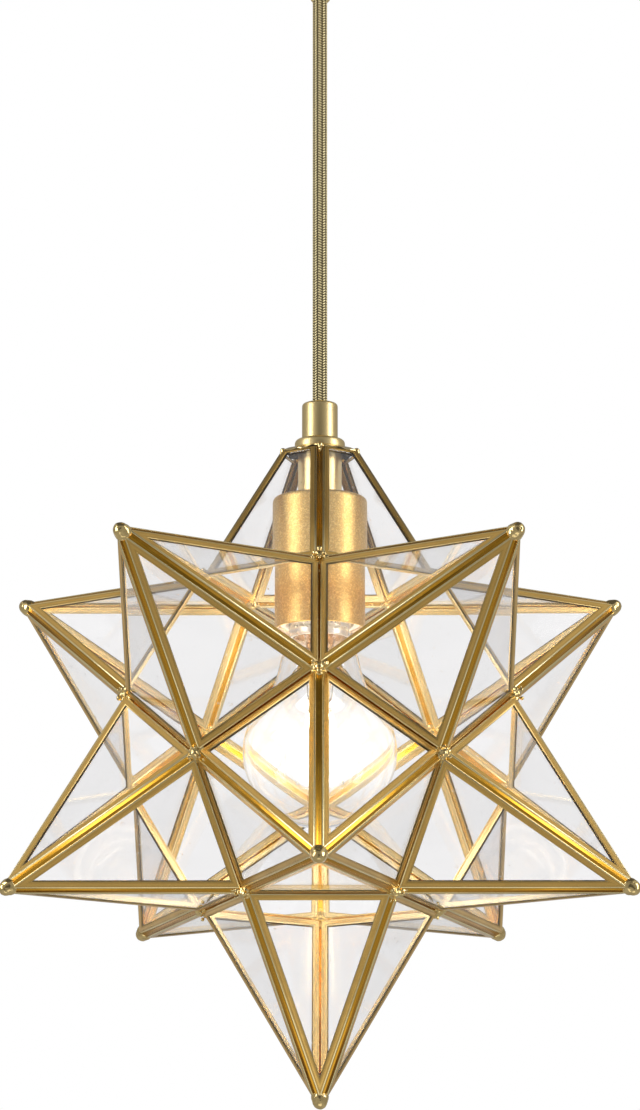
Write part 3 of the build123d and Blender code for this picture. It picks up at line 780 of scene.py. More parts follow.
class Star:
    """The star's proportions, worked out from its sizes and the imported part."""

    def __init__(self, sizes):
        self.sizes = sizes
        self.core_inradius = sizes.star_radius / math.sqrt(5)
        self.edge = self.core_inradius * 2 * math.sqrt(3 - GOLDEN) / GOLDEN**2
        self.core_circumradius = self.edge * math.sqrt(3) * GOLDEN / 2
        self.apothem = self.edge / 2 / math.tan(HALF_BASE)
        self.pane_height = self.edge / 2 / math.tan(HALF_APEX)
        self.half_depth = sizes.channel_depth / 2
        self.seam = self.half_depth * math.tan(WEB_HALF_ANGLE) + sizes.seam_gap
        self.centre = Vector((0, 0, foot_of("tip_balls") + sizes.star_radius + TIP_BALL_REACH))

    def beside(self, point):
        """The directions of the five points next to one."""
        axis = POINTS[point]
        return [d for d in POINTS.values() if 0 < d.dot(axis) < 0.9]

    def turn(self, point):
        """How the upright point is turned to this one, with a pane's base edge in place."""
        axis = POINTS[point]
        beside = self.beside(point)[0]
        back = -(beside - axis * beside.dot(axis)).normalized()
        return Matrix((back.cross(axis), back, axis)).transposed().to_euler()

    def tip(self, point):
        return self.centre + POINTS[point] * (self.sizes.star_radius - self.sizes.tip_setback)

    def corners(self, point):
        """The five core corners round a point's base."""
        axis = POINTS[point]
        found = []
        for a in self.beside(point):
            for b in self.beside(point):
                if a is not b and a.dot(b) > 0 and not any((a + b - c).length < 0.1 for c in found):
                    found.append(a + b)
        return [self.centre + (axis + c).normalized() * self.core_circumradius for c in found]

    def core_corners(self):
        """Every core corner, with the unit directions of the six channels that meet there."""
        places = []
        for point in POINTS:
            for corner in self.corners(point):
                if all((corner - known).length > self.edge / 2 for known in places):
                    places.append(corner)
        meeting = []
        for corner in places:
            tips = [self.tip(p) for p in POINTS if (self.tip(p) - corner).length < 1.2 * self.pane_height]
            near = [c for c in places if 0 < (c - corner).length < 1.1 * self.edge]
            meeting.append((corner, [(end - corner).normalized() for end in tips + near]))
        return meeting

    def cut_edge(self):
        """Where the top point's panes end under the cap plate, from their base edge."""
        under_plate = foot_of("cap_plate") - PLATE_GAP - self.centre.z
        clear_height = under_plate - self.half_depth * math.sin(PANE_LEAN)
        return (clear_height - self.core_inradius) / math.cos(PANE_LEAN) + self.seam * CUT_FLANGE


def pane_corners(star, inset, cut):
    """A pane's triangle drawn in by inset, cut level below its sharp end where cut is given."""
    half_width = star.edge / 2 - inset / math.tan(HALF_BASE)
    sharp_end = star.pane_height - inset / math.sin(HALF_APEX)
    corners = [(-half_width, inset), (half_width, inset), (0, sharp_end)]
    if cut is not None:
        top = cut - inset * CUT_FLANGE
        half_top = (sharp_end - top) * math.tan(HALF_APEX)
        corners[2:] = [(half_top, top), (-half_top, top)]
    return corners


def half_section(star, filled, short):
    """Outer half of a channel's section, rim to middle: (inset, height, painted_highlight, patina_and_shade,
    solder); the third mark is a painted highlight, the fourth patina with painted shade. A filled half goes
    on over the fold in a hollow of solder, stopping short of the plane between channels."""
    sizes = star.sizes
    web = star.seam
    rim = web + sizes.flange_width
    face = star.half_depth
    fold = sizes.fold_radius
    # Rows at the rim: patina on the flange's edge, a little painted highlight where the edge rolls down to
    # the glass, and a faint darker line just before the fold.
    rows = [(rim, sizes.channel_pocket / 2, 0, 1, 0), (rim, face - 0.42 * MM, 0.2, 0.9, 0),
            (rim - 0.12 * MM, face - 0.2 * MM, 0.5, 0.3, 0), (rim - 0.35 * MM, face - 0.1 * MM, 0, 0.5, 0),
            (rim - 0.9 * MM, face - 0.03 * MM, 0, 0, 0), (rim - 1.5 * MM, face, 0, 0, 0),
            (web + fold + 0.35 * MM, face - 0.04 * MM, 0, 0.3, 0)]
    # Rows round the fold; the third mark paints a highlight along it.
    for step, shine in enumerate((0.4, 1, 1, 1, 0.5, 0)):
        angle = math.radians(18 * step)
        rows.append((web + fold * (1 - math.sin(angle)), face - fold * (1 - math.cos(angle)), shine, 0, 0))
    across, up = math.sin(WEB_ANGLE), math.cos(WEB_ANGLE)
    inset, height = rows[-1][:2]
    start = Vector((inset * across + height * up, height * across - inset * up))
    middle = Vector((short, face * across - web * up + 0.35 * fold - sizes.fill_depth))
    handle = Vector((start.x * 0.45, middle.y))
    # Painted shade in the seam's hollow, carried by the patina mark.
    shades = (0.7, 0.3, 0.1, 0.1, 0.2, 0.35)
    for number, dull in enumerate(shades, 1):
        t = number / len(shades)
        place = start * (1 - t) ** 2 + handle * 2 * t * (1 - t) + middle * t**2
        row = (place.x * across - place.y * up, place.x * up + place.y * across)
        rows.append((*row, 0, dull, 1) if filled else (web, (face - fold) * (1 - 0.8 * t), 0, dull, 0))
    return rows


def channel_section(star, ridge, short):
    """The channel's closed section; its filled half is outside at a ridge and inside at a base edge."""
    inside = [(inset, -height, *marks) for inset, height, *marks in half_section(star, not ridge, short)]
    pocket = star.sizes.channel_pocket / 2
    bottom = star.seam + 0.35 * MM
    pocket_floor = [(bottom, -pocket, 0, 1, 0), (bottom, pocket, 0, 1, 0)]
    return half_section(star, ridge, short) + inside[::-1] + pocket_floor


def pane_mesh(star, cut, short):
    """One pane's folded channel, lying flat, with its strip lengths and wear."""
    ridge, base = (channel_section(star, kind, short) for kind in (True, False))
    corner_count = len(pane_corners(star, 0, cut))
    stations = [(0, base), (1, base)] + [(corner, ridge) for corner in [*range(1, corner_count), 0]]
    known, places, marks, columns = {}, [], [], []
    for corner, section in stations:
        column = []
        for row, (inset, height, *wear) in enumerate(section):
            x, y = pane_corners(star, inset, cut)[corner]
            key = (round(x, 8), round(y, 8), round(height, 8))
            if key not in known:
                known[key] = len(places)
                places.append((x, y, height))
                marks.append((*wear, float(height < 0), row))
            column.append(known[key])
        columns.append(column)
    faces, starts = [], []
    count = len(ridge)
    for column, ahead in zip(columns, columns[1:] + columns[:1]):
        for row in range(count):
            above = (row + 1) % count
            loop = list(dict.fromkeys((column[row], ahead[row], ahead[above], column[above])))
            if len(loop) > 2:
                faces.append(loop)
                starts.append((Vector(places[column[0]][:2]), Vector(places[ahead[0]][:2])))
    mesh = closed_mesh("pane_channel", places, faces, "channel_brass", 60)
    # The marks: painted highlight, patina with painted shade, seam solder, inside face.
    for column, name in enumerate(("painted_highlight", "patina_and_shade", "solder", "inside")):
        layer = mesh.attributes.new(name, "FLOAT", "POINT")
        layer.data.foreach_set("value", [mark[column] for mark in marks])
    strip = mesh.uv_layers.new(name="strip")
    for face in mesh.polygons:
        start, end = starts[face.index]
        run = (end - start).normalized()
        for loop in face.loop_indices:
            vertex = mesh.vertices[mesh.loops[loop].vertex_index]
            row = marks[vertex.index][-1]
            strip.data[loop].uv = ((Vector(vertex.co[:2]) - start).dot(run), row * ROW_WIDTH)
    return mesh


# ---------------------------------------------------------------- operators
class BuildPiece(bpy.types.Operator):
    """Shared form of the operators that build pieces of the pendant."""
    bl_options = {"REGISTER", "UNDO"}

    def execute(self, context):
        self.build(context.scene)
        return {"FINISHED"}


class STAR_OT_channels(BuildPiece):
    """Folded brass channels round the panes of all twelve points"""
    bl_idname = "star.channels"
    bl_label = "Channels"

    def build(self, scene):
        star = Star(scene.star_sizes)
        tree = panes_tree()
        for point in POINTS:
            name = f"channels_{point}"
            body, node, short = "star", f"frame_point_{point}", -SEAM_OVERLAP
            if point == "door":
                body, node, short = "door", "door_frame", DOOR_SEAM
            pane = pane_mesh(star, star.cut_edge() if point == "top" else None, short)
            mesh = grown_mesh(name, pane, tree, {
                "Panes": 5, "Lean": math.pi / 2 - PANE_LEAN, "Apothem": star.apothem,
                "Base Height": star.core_inradius, "Turn": tuple(star.turn(point)),
                "Centre": tuple(star.centre)})
            new_piece(name, mesh, "channel_brass", body, node)


class STAR_OT_solder(BuildPiece):
    """Hammered caps of solder on the points and lumpy beads where the channels meet"""
    bl_idname = "star.solder"
    bl_label = "Solder"

    def build(self, scene):
        star = Star(scene.star_sizes)
        tree = solder_tree()
        self.tips(star, tree)
        chance = random.Random(5)
        for number, level in enumerate(("upper", "lower")):
            self.joints(star, tree, chance, number, level)

    def tips(self, star, tree):
        """A cap on each point: beads that grow a little down along its axis."""
        bead_step, bead_growth = 0.35 * MM, 0.035
        caps = {"tip_caps": ([p for p in POINTS if p not in ("top", "door")], "star", "tip_balls"),
                "door_tip_cap": (["door"], "door", "door_tip_ball")}
        for seed, (name, (points, body, node)) in enumerate(caps.items()):
            beads = [(star.tip(point) - POINTS[point] * bead_step * number, 1 + bead_growth * number)
                     for point in points for number in range(6)]
            mesh = beads_mesh(name, beads, tree, Bead_Radius=star.sizes.tip_radius, Voxel=0.28 * MM,
                              Lump_Height=0.5 * MM, Lump_Scale=420.0, Seed=float(seed))
            new_piece(name, mesh, "solder_brass", body, node)

    def joints(self, star, tree, chance, number, level):
        """Lumps where the channels meet, on the upper or the lower corners, cut off beside the door."""
        reach = star.sizes.joint_radius
        beads = []

        def bead(corner, way, near, far, small, large):
            place = corner + way * reach * chance.uniform(near, far)
            beads.append((place, chance.uniform(small, large)))

        for corner, runs in star.core_corners():
            if (corner.z > star.centre.z) != (level == "upper"):
                continue
            outward = (corner - star.centre).normalized()
            beads += [(corner + outward * 1.3 * MM, 0.72), (corner + outward * -0.9 * MM, 0.72)]
            for run in runs:
                bead(corner, run, 0.7, 1.1, 0.4, 0.6)
                bead(corner, run + outward * 0.9, 0.6, 0.95, 0.22, 0.4)
                if chance.random() < 0.5:
                    bead(corner, run, 1.5, 2.3, 0.22, 0.3)
        name = f"joints_{level}"
        mesh = beads_mesh(name, beads, tree, Bead_Radius=reach, Voxel=0.3 * MM, Lump_Height=0.8 * MM,
                          Lump_Scale=620.0, Seed=7.0 + number)
        door_plane = star.centre + POINTS["door"] * (star.core_inradius + DOOR_GAP)
        cut_away(mesh, door_plane, POINTS["door"])
        new_piece(name, mesh, "solder_brass", "star", f"solder_joints_{level}")


def random_waves(chance, counts, low, high):
    """Waves round a plate: how many, where they start and their height, from low to high millimetres."""
    return [(count, chance.uniform(0, TAU), chance.uniform(low, high) * MM) for count in counts]


def wave_at(waves, angle):
    return sum(height * math.sin(count * angle + start) for count, start, height in waves)


class STAR_OT_cap(BuildPiece):
    """Hand-formed five-sided cap plate over the cut top point, with the solder that runs from its corners"""
    bl_idname = "star.cap"
    bl_label = "Cap plate"

    def build(self, scene):
        edge = scene.star_sizes.cap_radius
        bore = scene.lamp_sizes.bore_radius
        low, high = foot_of("cap_plate"), top_of("cap_plate")
        sheet = 1.0 * MM
        flat = (radius_of("top_flange") + 0.6 * MM) / math.cos(HALF_BASE)
        outline = [(bore, high), (flat - 0.6 * MM, high), (flat, high - 0.15 * MM),
                   (edge - 0.5 * MM, low + 0.8 * MM), (edge, low + 0.55 * MM),
                   (edge + 0.1 * MM, low + 0.2 * MM), (edge - 0.3 * MM, low),
                   (edge - 0.9 * MM, low + 0.2 * MM), (flat - 1.2 * MM, high - sheet), (bore, high - sheet)]
        chance = random.Random(2)
        beats = random_waves(chance, range(3, 12), 0.05, 0.16)
        ripples = random_waves(chance, range(4, 15), 0.04, 0.12)

        def five_sided(r, z, angle):
            if r <= bore + 0.01 * MM:
                return 0
            within = angle % (TAU / 5) - math.pi / 5
            side = min(math.cos(HALF_BASE) / math.cos(within), 0.985)
            return r * (side - 1) + wave_at(beats, angle) * (high - z) / (high - low)

        verts, faces = lathe(outline, 240, shift=five_sided)
        bent = [(x, y, z + wave_at(ripples, math.atan2(x, -y)) * (high - z) / (high - low))
                for x, y, z in verts]
        mesh = closed_mesh("cap", bent, faces, "solder_brass", 50)
        # The faces that face downwards get the near-black underside finish.
        finish_inside(mesh, "dull_underside", lambda face: (
            face.normal.z < -0.3 and math.hypot(*face.center[:2]) < edge - 1.1 * MM))
        new_piece("cap", mesh, "solder_brass", "star", "cap_plate")
        self.runs(edge, low)

    def runs(self, edge, low):
        """Solder at the plate's corners, with a longer run down the front ridge."""
        beads = []
        for number in range(5):
            corner = direction(72 * number, 0)
            base = corner * (edge - 0.9 * MM) + Vector((0, 0, low + 0.4 * MM))
            beads += [(base, 1.0), (base + corner * 0.5 * MM + Vector((0, 0, -0.8 * MM)), 0.7),
                      (base + corner * 1.0 * MM + Vector((0, 0, -1.9 * MM)), 0.4 if number else 0.55)]
        for step, size in enumerate((0.5, 0.42, 0.34, 0.28)):
            beads.append(((0.3 * MM, -edge - (0.1 + 0.35 * step) * MM, low - (1.2 + 0.6 * step) * MM), size))
        mesh = beads_mesh("cap_solder", beads, solder_tree(), Bead_Radius=1.3 * MM, Voxel=0.2 * MM,
                          Lump_Height=0.4 * MM, Lump_Scale=700.0, Seed=11.0)
        new_piece("cap_solder", mesh, "solder_brass", "star")


class STAR_OT_stem(BuildPiece):
    """Collar, flange disc and neck tube"""
    bl_idname = "star.stem"
    bl_label = "Stem"

    def build(self, scene):
        cord = scene.cord_sizes.cord_radius + 0.1 * MM
        bore = scene.lamp_sizes.bore_radius
        low, high, radius = extent("cord_collar")
        self.turned("collar", "cord_collar", [
            (cord, low, 0), (radius - 0.25 * MM, low, 0), (radius, low + 0.35 * MM, 0.15 * MM),
            (radius, high, 1.5 * MM), (cord + 0.35 * MM, high, 0.25 * MM), (cord, high - 0.6 * MM, 0)])
        low, high, radius = extent("top_flange")
        self.turned("flange", "top_flange", [
            (bore, low, 0), (radius, low, 0.3 * MM), (radius, high, 1.9 * MM), (bore, high, 0)])
        low, high, radius = extent("neck_tube")
        inner = radius - scene.lamp_sizes.neck_wall
        self.turned("neck", "neck_tube", [
            (inner, low, 0), (radius, low, 0.2 * MM), (radius, high, 0.2 * MM), (inner, high, 0)])

    def turned(self, name, node, corners):
        turned_piece(name, corners, "satin_brass", "star", node)


class STAR_OT_cup(BuildPiece):
    """Socket cup with its speckled coat and bare inside"""
    bl_idname = "star.cup"
    bl_label = "Socket cup"

    def build(self, scene):
        sizes = scene.lamp_sizes
        low, high, radius = extent("socket_cup")
        wall, lip = sizes.cup_wall, 0.45 * MM
        cup = [(sizes.bore_radius, high, 0), (radius, high, sizes.cup_edge), (radius, low, lip),
               (radius - wall, low, lip), (radius - wall, high - wall, sizes.cup_edge - wall),
               (sizes.bore_radius, high - wall, 0)]
        mesh = closed_mesh("cup", *lathe(softened(cup), 160), "speckled_gold")
        finish_inside(mesh, "cup_liner", lambda face: (
            math.hypot(*face.center[:2]) < radius - wall * 0.75 and face.center.z < high - wall * 0.75))
        new_piece("cup", mesh, "speckled_gold", "star", "socket_cup")


def thread_shift(pitch, depth, low, high):
    """A helical thread that fades out at both ends of its length."""
    def shift(r, z, angle):
        fade = min(1, max(0, (z - low) / pitch), max(0, (high - z) / pitch))
        return -depth * fade * (0.5 + 0.5 * math.cos(TAU * z / pitch + angle))
    return shift


def sleeve_outline(inner, outer, low, high, step):
    """A thin sleeve's outline with closely spaced rows for a thread."""
    rows = max(2, round((high - low) / step))
    heights = [low + (high - low) * n / rows for n in range(rows + 1)]
    return [(outer, z) for z in heights] + [(inner, z) for z in reversed(heights)]


class STAR_OT_lampholder(BuildPiece):
    """Porcelain lampholder and its threaded shell"""
    bl_idname = "star.lampholder"
    bl_label = "Lampholder"

    def build(self, scene):
        sizes = scene.lamp_sizes
        gap, sheet = 0.1 * MM, 0.4 * MM
        low, high, radius = extent("lampholder_body")
        shell_foot, shell_top, shell_radius = extent("lampholder_shell")
        inner, floor = shell_radius + gap, shell_top + gap
        turned_piece("holder_body", [
            (0, high, 0), (radius, high, 0.6 * MM), (radius, low, 1.2 * MM), (inner, low, 0.9 * MM),
            (inner, floor, 0), (0, floor, 0)], "porcelain", "star", "lampholder_body")
        outline = sleeve_outline(shell_radius - sheet, shell_radius, shell_foot, shell_top,
                                 sizes.thread_pitch / 8)
        thread = thread_shift(sizes.thread_pitch, sizes.shell_depth, shell_foot, shell_top)
        mesh = closed_mesh("holder_shell", *lathe(outline, 96, shift=thread), "lamp_base", 60)
        new_piece("holder_shell", mesh, "lamp_base", "star", "lampholder_shell")


def curve_between(start, start_run, end, end_run, steps):
    """Points after start on the smooth curve that leaves and arrives along the two runs."""
    handles = [start, start + start_run, end - end_run, end]
    curve = []
    for step in range(1, steps + 1):
        t = step / steps
        weights = [(1 - t) ** 3, 3 * t * (1 - t) ** 2, 3 * t**2 * (1 - t), t**3]
        curve.append(sum((handle * weight for handle, weight in zip(handles, weights)), Vector((0, 0))))
    return curve


def bulb_outline(sizes, drawn_in, steps=48):
    """The bulb's round end and neck, from its foot up, drawn in by a wall."""
    low, top, radius = extent("bulb_glass")
    centre = low + radius
    shoulder_angle = math.radians(40)
    end = radius - drawn_in
    outline = []
    for step in range(steps + 1):
        angle = -math.pi / 2 + (math.pi / 2 + shoulder_angle) * step / steps
        outline.append(Vector((end * math.cos(angle) if step else 0, centre + end * math.sin(angle))))
    rim = foot_of("bulb_base")
    throat = Vector((sizes.throat_radius - drawn_in, rim - sizes.throat_drop - drawn_in / 2))
    neck = Vector((sizes.bulb_neck_radius - drawn_in, rim - 1 * MM))
    leaving = Vector((-math.sin(shoulder_angle), math.cos(shoulder_angle)))
    at_throat = Vector((-0.2, 1)).normalized()
    cone = (throat - outline[-1]).length / 3
    turn = (neck - throat).length / 3
    outline += curve_between(outline[-1], leaving * cone, throat, at_throat * cone, steps // 3)
    outline += curve_between(throat, at_throat * turn, neck, Vector((0, turn)), steps // 3)
    return outline + [Vector((neck.x, top - drawn_in)), Vector((0, top - drawn_in))]


class STAR_OT_lamp(BuildPiece):
    """Clear lamp: glass, screw base, contact, stem and glowing filaments"""
    bl_idname = "star.lamp"
    bl_label = "Lamp"

    def build(self, scene):
        sizes = scene.lamp_sizes
        self.bulb(sizes)
        self.screw_base(sizes)
        self.contact()
        self.stem(sizes.filament_spread)
        self.filaments(sizes.filament_spread)

    def bulb(self, sizes):
        walls = [bulb_outline(sizes, 0), bulb_outline(sizes, sizes.bulb_wall)[::-1]]
        shells = [lathe(outline, 96) for outline in walls]
        mesh = closed_mesh("bulb", *gathered(shells), "lamp_glass", 50)
        first_inner = len(shells[0][1])
        inward = bmesh.new()  # the inner wall bounds the glass from inside, so its faces are turned
        inward.from_mesh(mesh)
        inward.faces.ensure_lookup_table()
        bmesh.ops.reverse_faces(inward, faces=inward.faces[first_inner:])
        inward.to_mesh(mesh)
        inward.free()
        new_piece("bulb", mesh, "lamp_glass", "lamp", "bulb_glass")

    def screw_base(self, sizes):
        low, high, radius = extent("bulb_base")
        inner = sizes.bulb_neck_radius + 0.1 * MM
        outline = sleeve_outline(inner, radius, low, high, sizes.thread_pitch / 10)
        thread = thread_shift(sizes.thread_pitch, sizes.thread_depth, low, high)
        shell = lathe(outline, 96, shift=lambda r, z, a: thread(r, z, a) if r > radius * 0.98 else 0)
        new_piece("screw_base", closed_mesh("screw_base", *shell, "lamp_base", 60), "lamp_base", "lamp",
                  "bulb_base")

    def contact(self):
        low, high, radius = extent("bulb_contact")
        shoulder = high - 1.2 * MM
        turned_piece("contact", [
            (0, low, 0), (radius, low, 0.3 * MM), (6 * MM, shoulder, 0.4 * MM),
            (4.8 * MM, shoulder, 0.1 * MM), (2.6 * MM, high, 0.9 * MM), (0, high, 0)],
            "lamp_contact", "lamp", "bulb_contact", 72)

    def stem(self, spread):
        """Flare and mast of glass, with the lower arms that hold the filaments."""
        low, high = foot_of("bulb_stem"), top_of("bulb_stem")
        flame_high = top_of("bulb_filaments")
        flare = [(0, high, 0), (7 * MM, high, 0.8 * MM), (6 * MM, high - 11 * MM, 4 * MM),
                 (4.4 * MM, flame_high + 2 * MM, 2 * MM), (0, flame_high + 0.3 * MM, 0)]
        parts = [lathe(softened(flare), 64), rod((0, 0, flame_high + 1 * MM), (0, 0, low), 0.7 * MM)]
        for out in self.quarters():
            end = out * spread + Vector((0, 0, low + 0.35 * MM))
            parts.append(rod((0, 0, low + 0.4 * MM), end, 0.35 * MM))
        new_piece("stem", closed_mesh("stem", *gathered(parts), "lamp_glass", 50), "lamp_glass", "lamp",
                  "bulb_stem")

    def filaments(self, spread):
        """Four slanting filaments with their wire ends."""
        low, high = foot_of("bulb_filaments"), top_of("bulb_filaments")
        filaments, ends = [], []
        for out in self.quarters():
            high_end = out * 3.6 * MM + Vector((0, 0, high - 0.5 * MM))
            low_end = out * spread + Vector((0, 0, low + 0.5 * MM))
            along = (low_end - high_end).normalized() * 2 * MM
            filaments.append(rod(high_end + along, low_end - along, 0.9 * MM))
            ends.append(rod(high_end, high_end + along * 1.2, 0.5 * MM, 12))
            ends.append(rod(low_end - along * 1.2, low_end, 0.5 * MM, 12))
        new_piece("filaments", closed_mesh("filaments", *gathered(filaments), "filament", 50), "filament",
                  "lamp", "bulb_filaments")
        new_piece("filament_ends", closed_mesh("filament_ends", *gathered(ends), "plated_steel", 50),
                  "lamp_contact", "lamp")

    def quarters(self):
        """Four level directions, from the right on."""
        return [direction(90 * turn + 90, 0) for turn in range(4)]


class STAR_OT_cord(BuildPiece):
    """Braided cord, held taut between the ceiling's grip and the collar"""
    bl_idname = "star.cord"
    bl_label = "Cord"

    def build(self, scene):
        sizes = scene.cord_sizes
        low = foot_of("cord")
        exit_z = top_of("cord_collar")
        high = top_of("cord") - sizes.cord_radius  # it ends where it swings, in the grip
        heights = [low, exit_z, exit_z + (high - exit_z) / 2, high]
        curve = bpy.data.curves.new("cord_route", "CURVE")
        curve.dimensions = "3D"
        curve.resolution_u = 24
        spline = curve.splines.new("NURBS")
        spline.points.add(len(heights) - 1)
        for point, z in zip(spline.points, heights):
            point.co = (0, 0, z, 1)
        spline.order_u = 3
        spline.use_endpoint_u = True
        route = bpy.data.objects.new("cord_route", curve)
        scene.collection.objects.link(route)
        scene_graph = bpy.context.evaluated_depsgraph_get()
        line = bpy.data.meshes.new_from_object(route.evaluated_get(scene_graph))
        bpy.data.objects.remove(route)
        mesh = grown_mesh("braided_cord", line, braid_tree(), {
            "Radius": sizes.cord_radius, "Columns": sizes.braid_columns, "Pitch": sizes.braid_pitch,
            "Depth": sizes.braid_depth, "Ring Spacing": sizes.braid_pitch / 5,
            "Segments": 6 * sizes.braid_columns})
        piece = new_piece("braided_cord", mesh, "braid", "cord", "cord")


class STAR_OT_canopy(BuildPiece):
    """Ceiling canopy with its grip and ball nuts"""
    bl_idname = "star.canopy"
    bl_label = "Canopy"

    def build(self, scene):
        bore, wall = scene.lamp_sizes.bore_radius, scene.lamp_sizes.canopy_wall
        low, high, radius = extent("canopy")
        rim, inner = high - 0.2 * MM, radius - wall
        turned_piece("canopy_bowl", [
            (bore, low, 0), (radius, low, 9 * MM), (radius, rim, 0.15 * MM), (inner, rim, 0.15 * MM),
            (inner, low + wall, 8 * MM), (bore, low + wall, 0)], "satin_brass", "ceiling", "canopy", 180, 12)
        foot, top, outer = extent("canopy_grip")
        seat, spigot, mouth, throat = low - 0.1 * MM, 5 * MM, 5.6 * MM, 3.7 * MM
        turned_piece("grip", [
            (spigot, top, 0.2 * MM), (spigot, seat, 0), (outer, seat, 0.5 * MM), (outer, foot, 1.3 * MM),
            (mouth, foot, 0.3 * MM), (throat, foot + 4 * MM, 0.5 * MM), (throat, top, 0)],
            "satin_brass", "ceiling", "canopy_grip")
        self.ball_nuts()

    def ball_nuts(self):
        """Two round nuts with a groove, open at the top for the canopy's screws."""
        low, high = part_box("canopy_ball_nuts")
        radius, hole = (high[0] - low[0]) / 2, 1.95 * MM
        foot, top = low[2], high[2]
        nut = [(hole, top, 0), (radius, top, 0.3 * MM), (radius, top - 1.2 * MM, 0.2 * MM),
               (radius - 0.35 * MM, top - 1.5 * MM, 0.1 * MM), (radius, top - 1.8 * MM, 0.2 * MM),
               (radius, foot, 3.6 * MM), (0, foot, 0), (0, foot + 1 * MM, 0), (hole, foot + 1 * MM, 0)]
        nuts = [lathe(softened(nut, 8), 64, (0, y)) for y in (low[1] + radius, high[1] - radius)]
        new_piece("ball_nuts", closed_mesh("ball_nuts", *gathered(nuts), "satin_brass"), "satin_brass",
                  "ceiling", "canopy_ball_nuts")


class STAR_OT_kept_parts(BuildPiece):
    """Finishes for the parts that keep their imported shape: panes, hinge and fastenings"""
    bl_idname = "star.kept_parts"
    bl_label = "Kept parts"

    def build(self, scene):
        kept = {
            "channel_brass": ["hinge_leaf_fixed", "door_hinge_leaf"],
            "satin_brass": ["hinge_pin"],
            "solder_brass": ["door_solder"],
            "plated_steel": ["collar_grub_screw", "threaded_nipple", "nipple_lock_nut", "terminal_screws",
                             "crossbar", "canopy_screws", "canopy_lock_nut"],
            "porcelain": ["lampholder_cap"],
            "lead_plastic": ["inner_leads", "cord_tail"],
            "lamp_base": ["lampholder_contact"],
            "clear_glass": [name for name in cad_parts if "glass" in name and name != "bulb_glass"],
        }
        for finish, names in kept.items():
            for name in names:
                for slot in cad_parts[name].material_slots:
                    slot.material = finish_of(finish)


# ---------------------------------------------------------------- the stage
FLOOR_HEIGHT = -5.2  # far enough down for a view from underneath
FLOOR_REACH = 30.0
CAMERA_PLACE = (0.00589, -1.58134, -0.63395)
CAMERA_RISE = math.radians(12.535)  # it looks up by this angle
CAMERA_TURN = math.radians(0.212)
CAMERA_LENS = 130.48
SENSOR_HEIGHT = 36


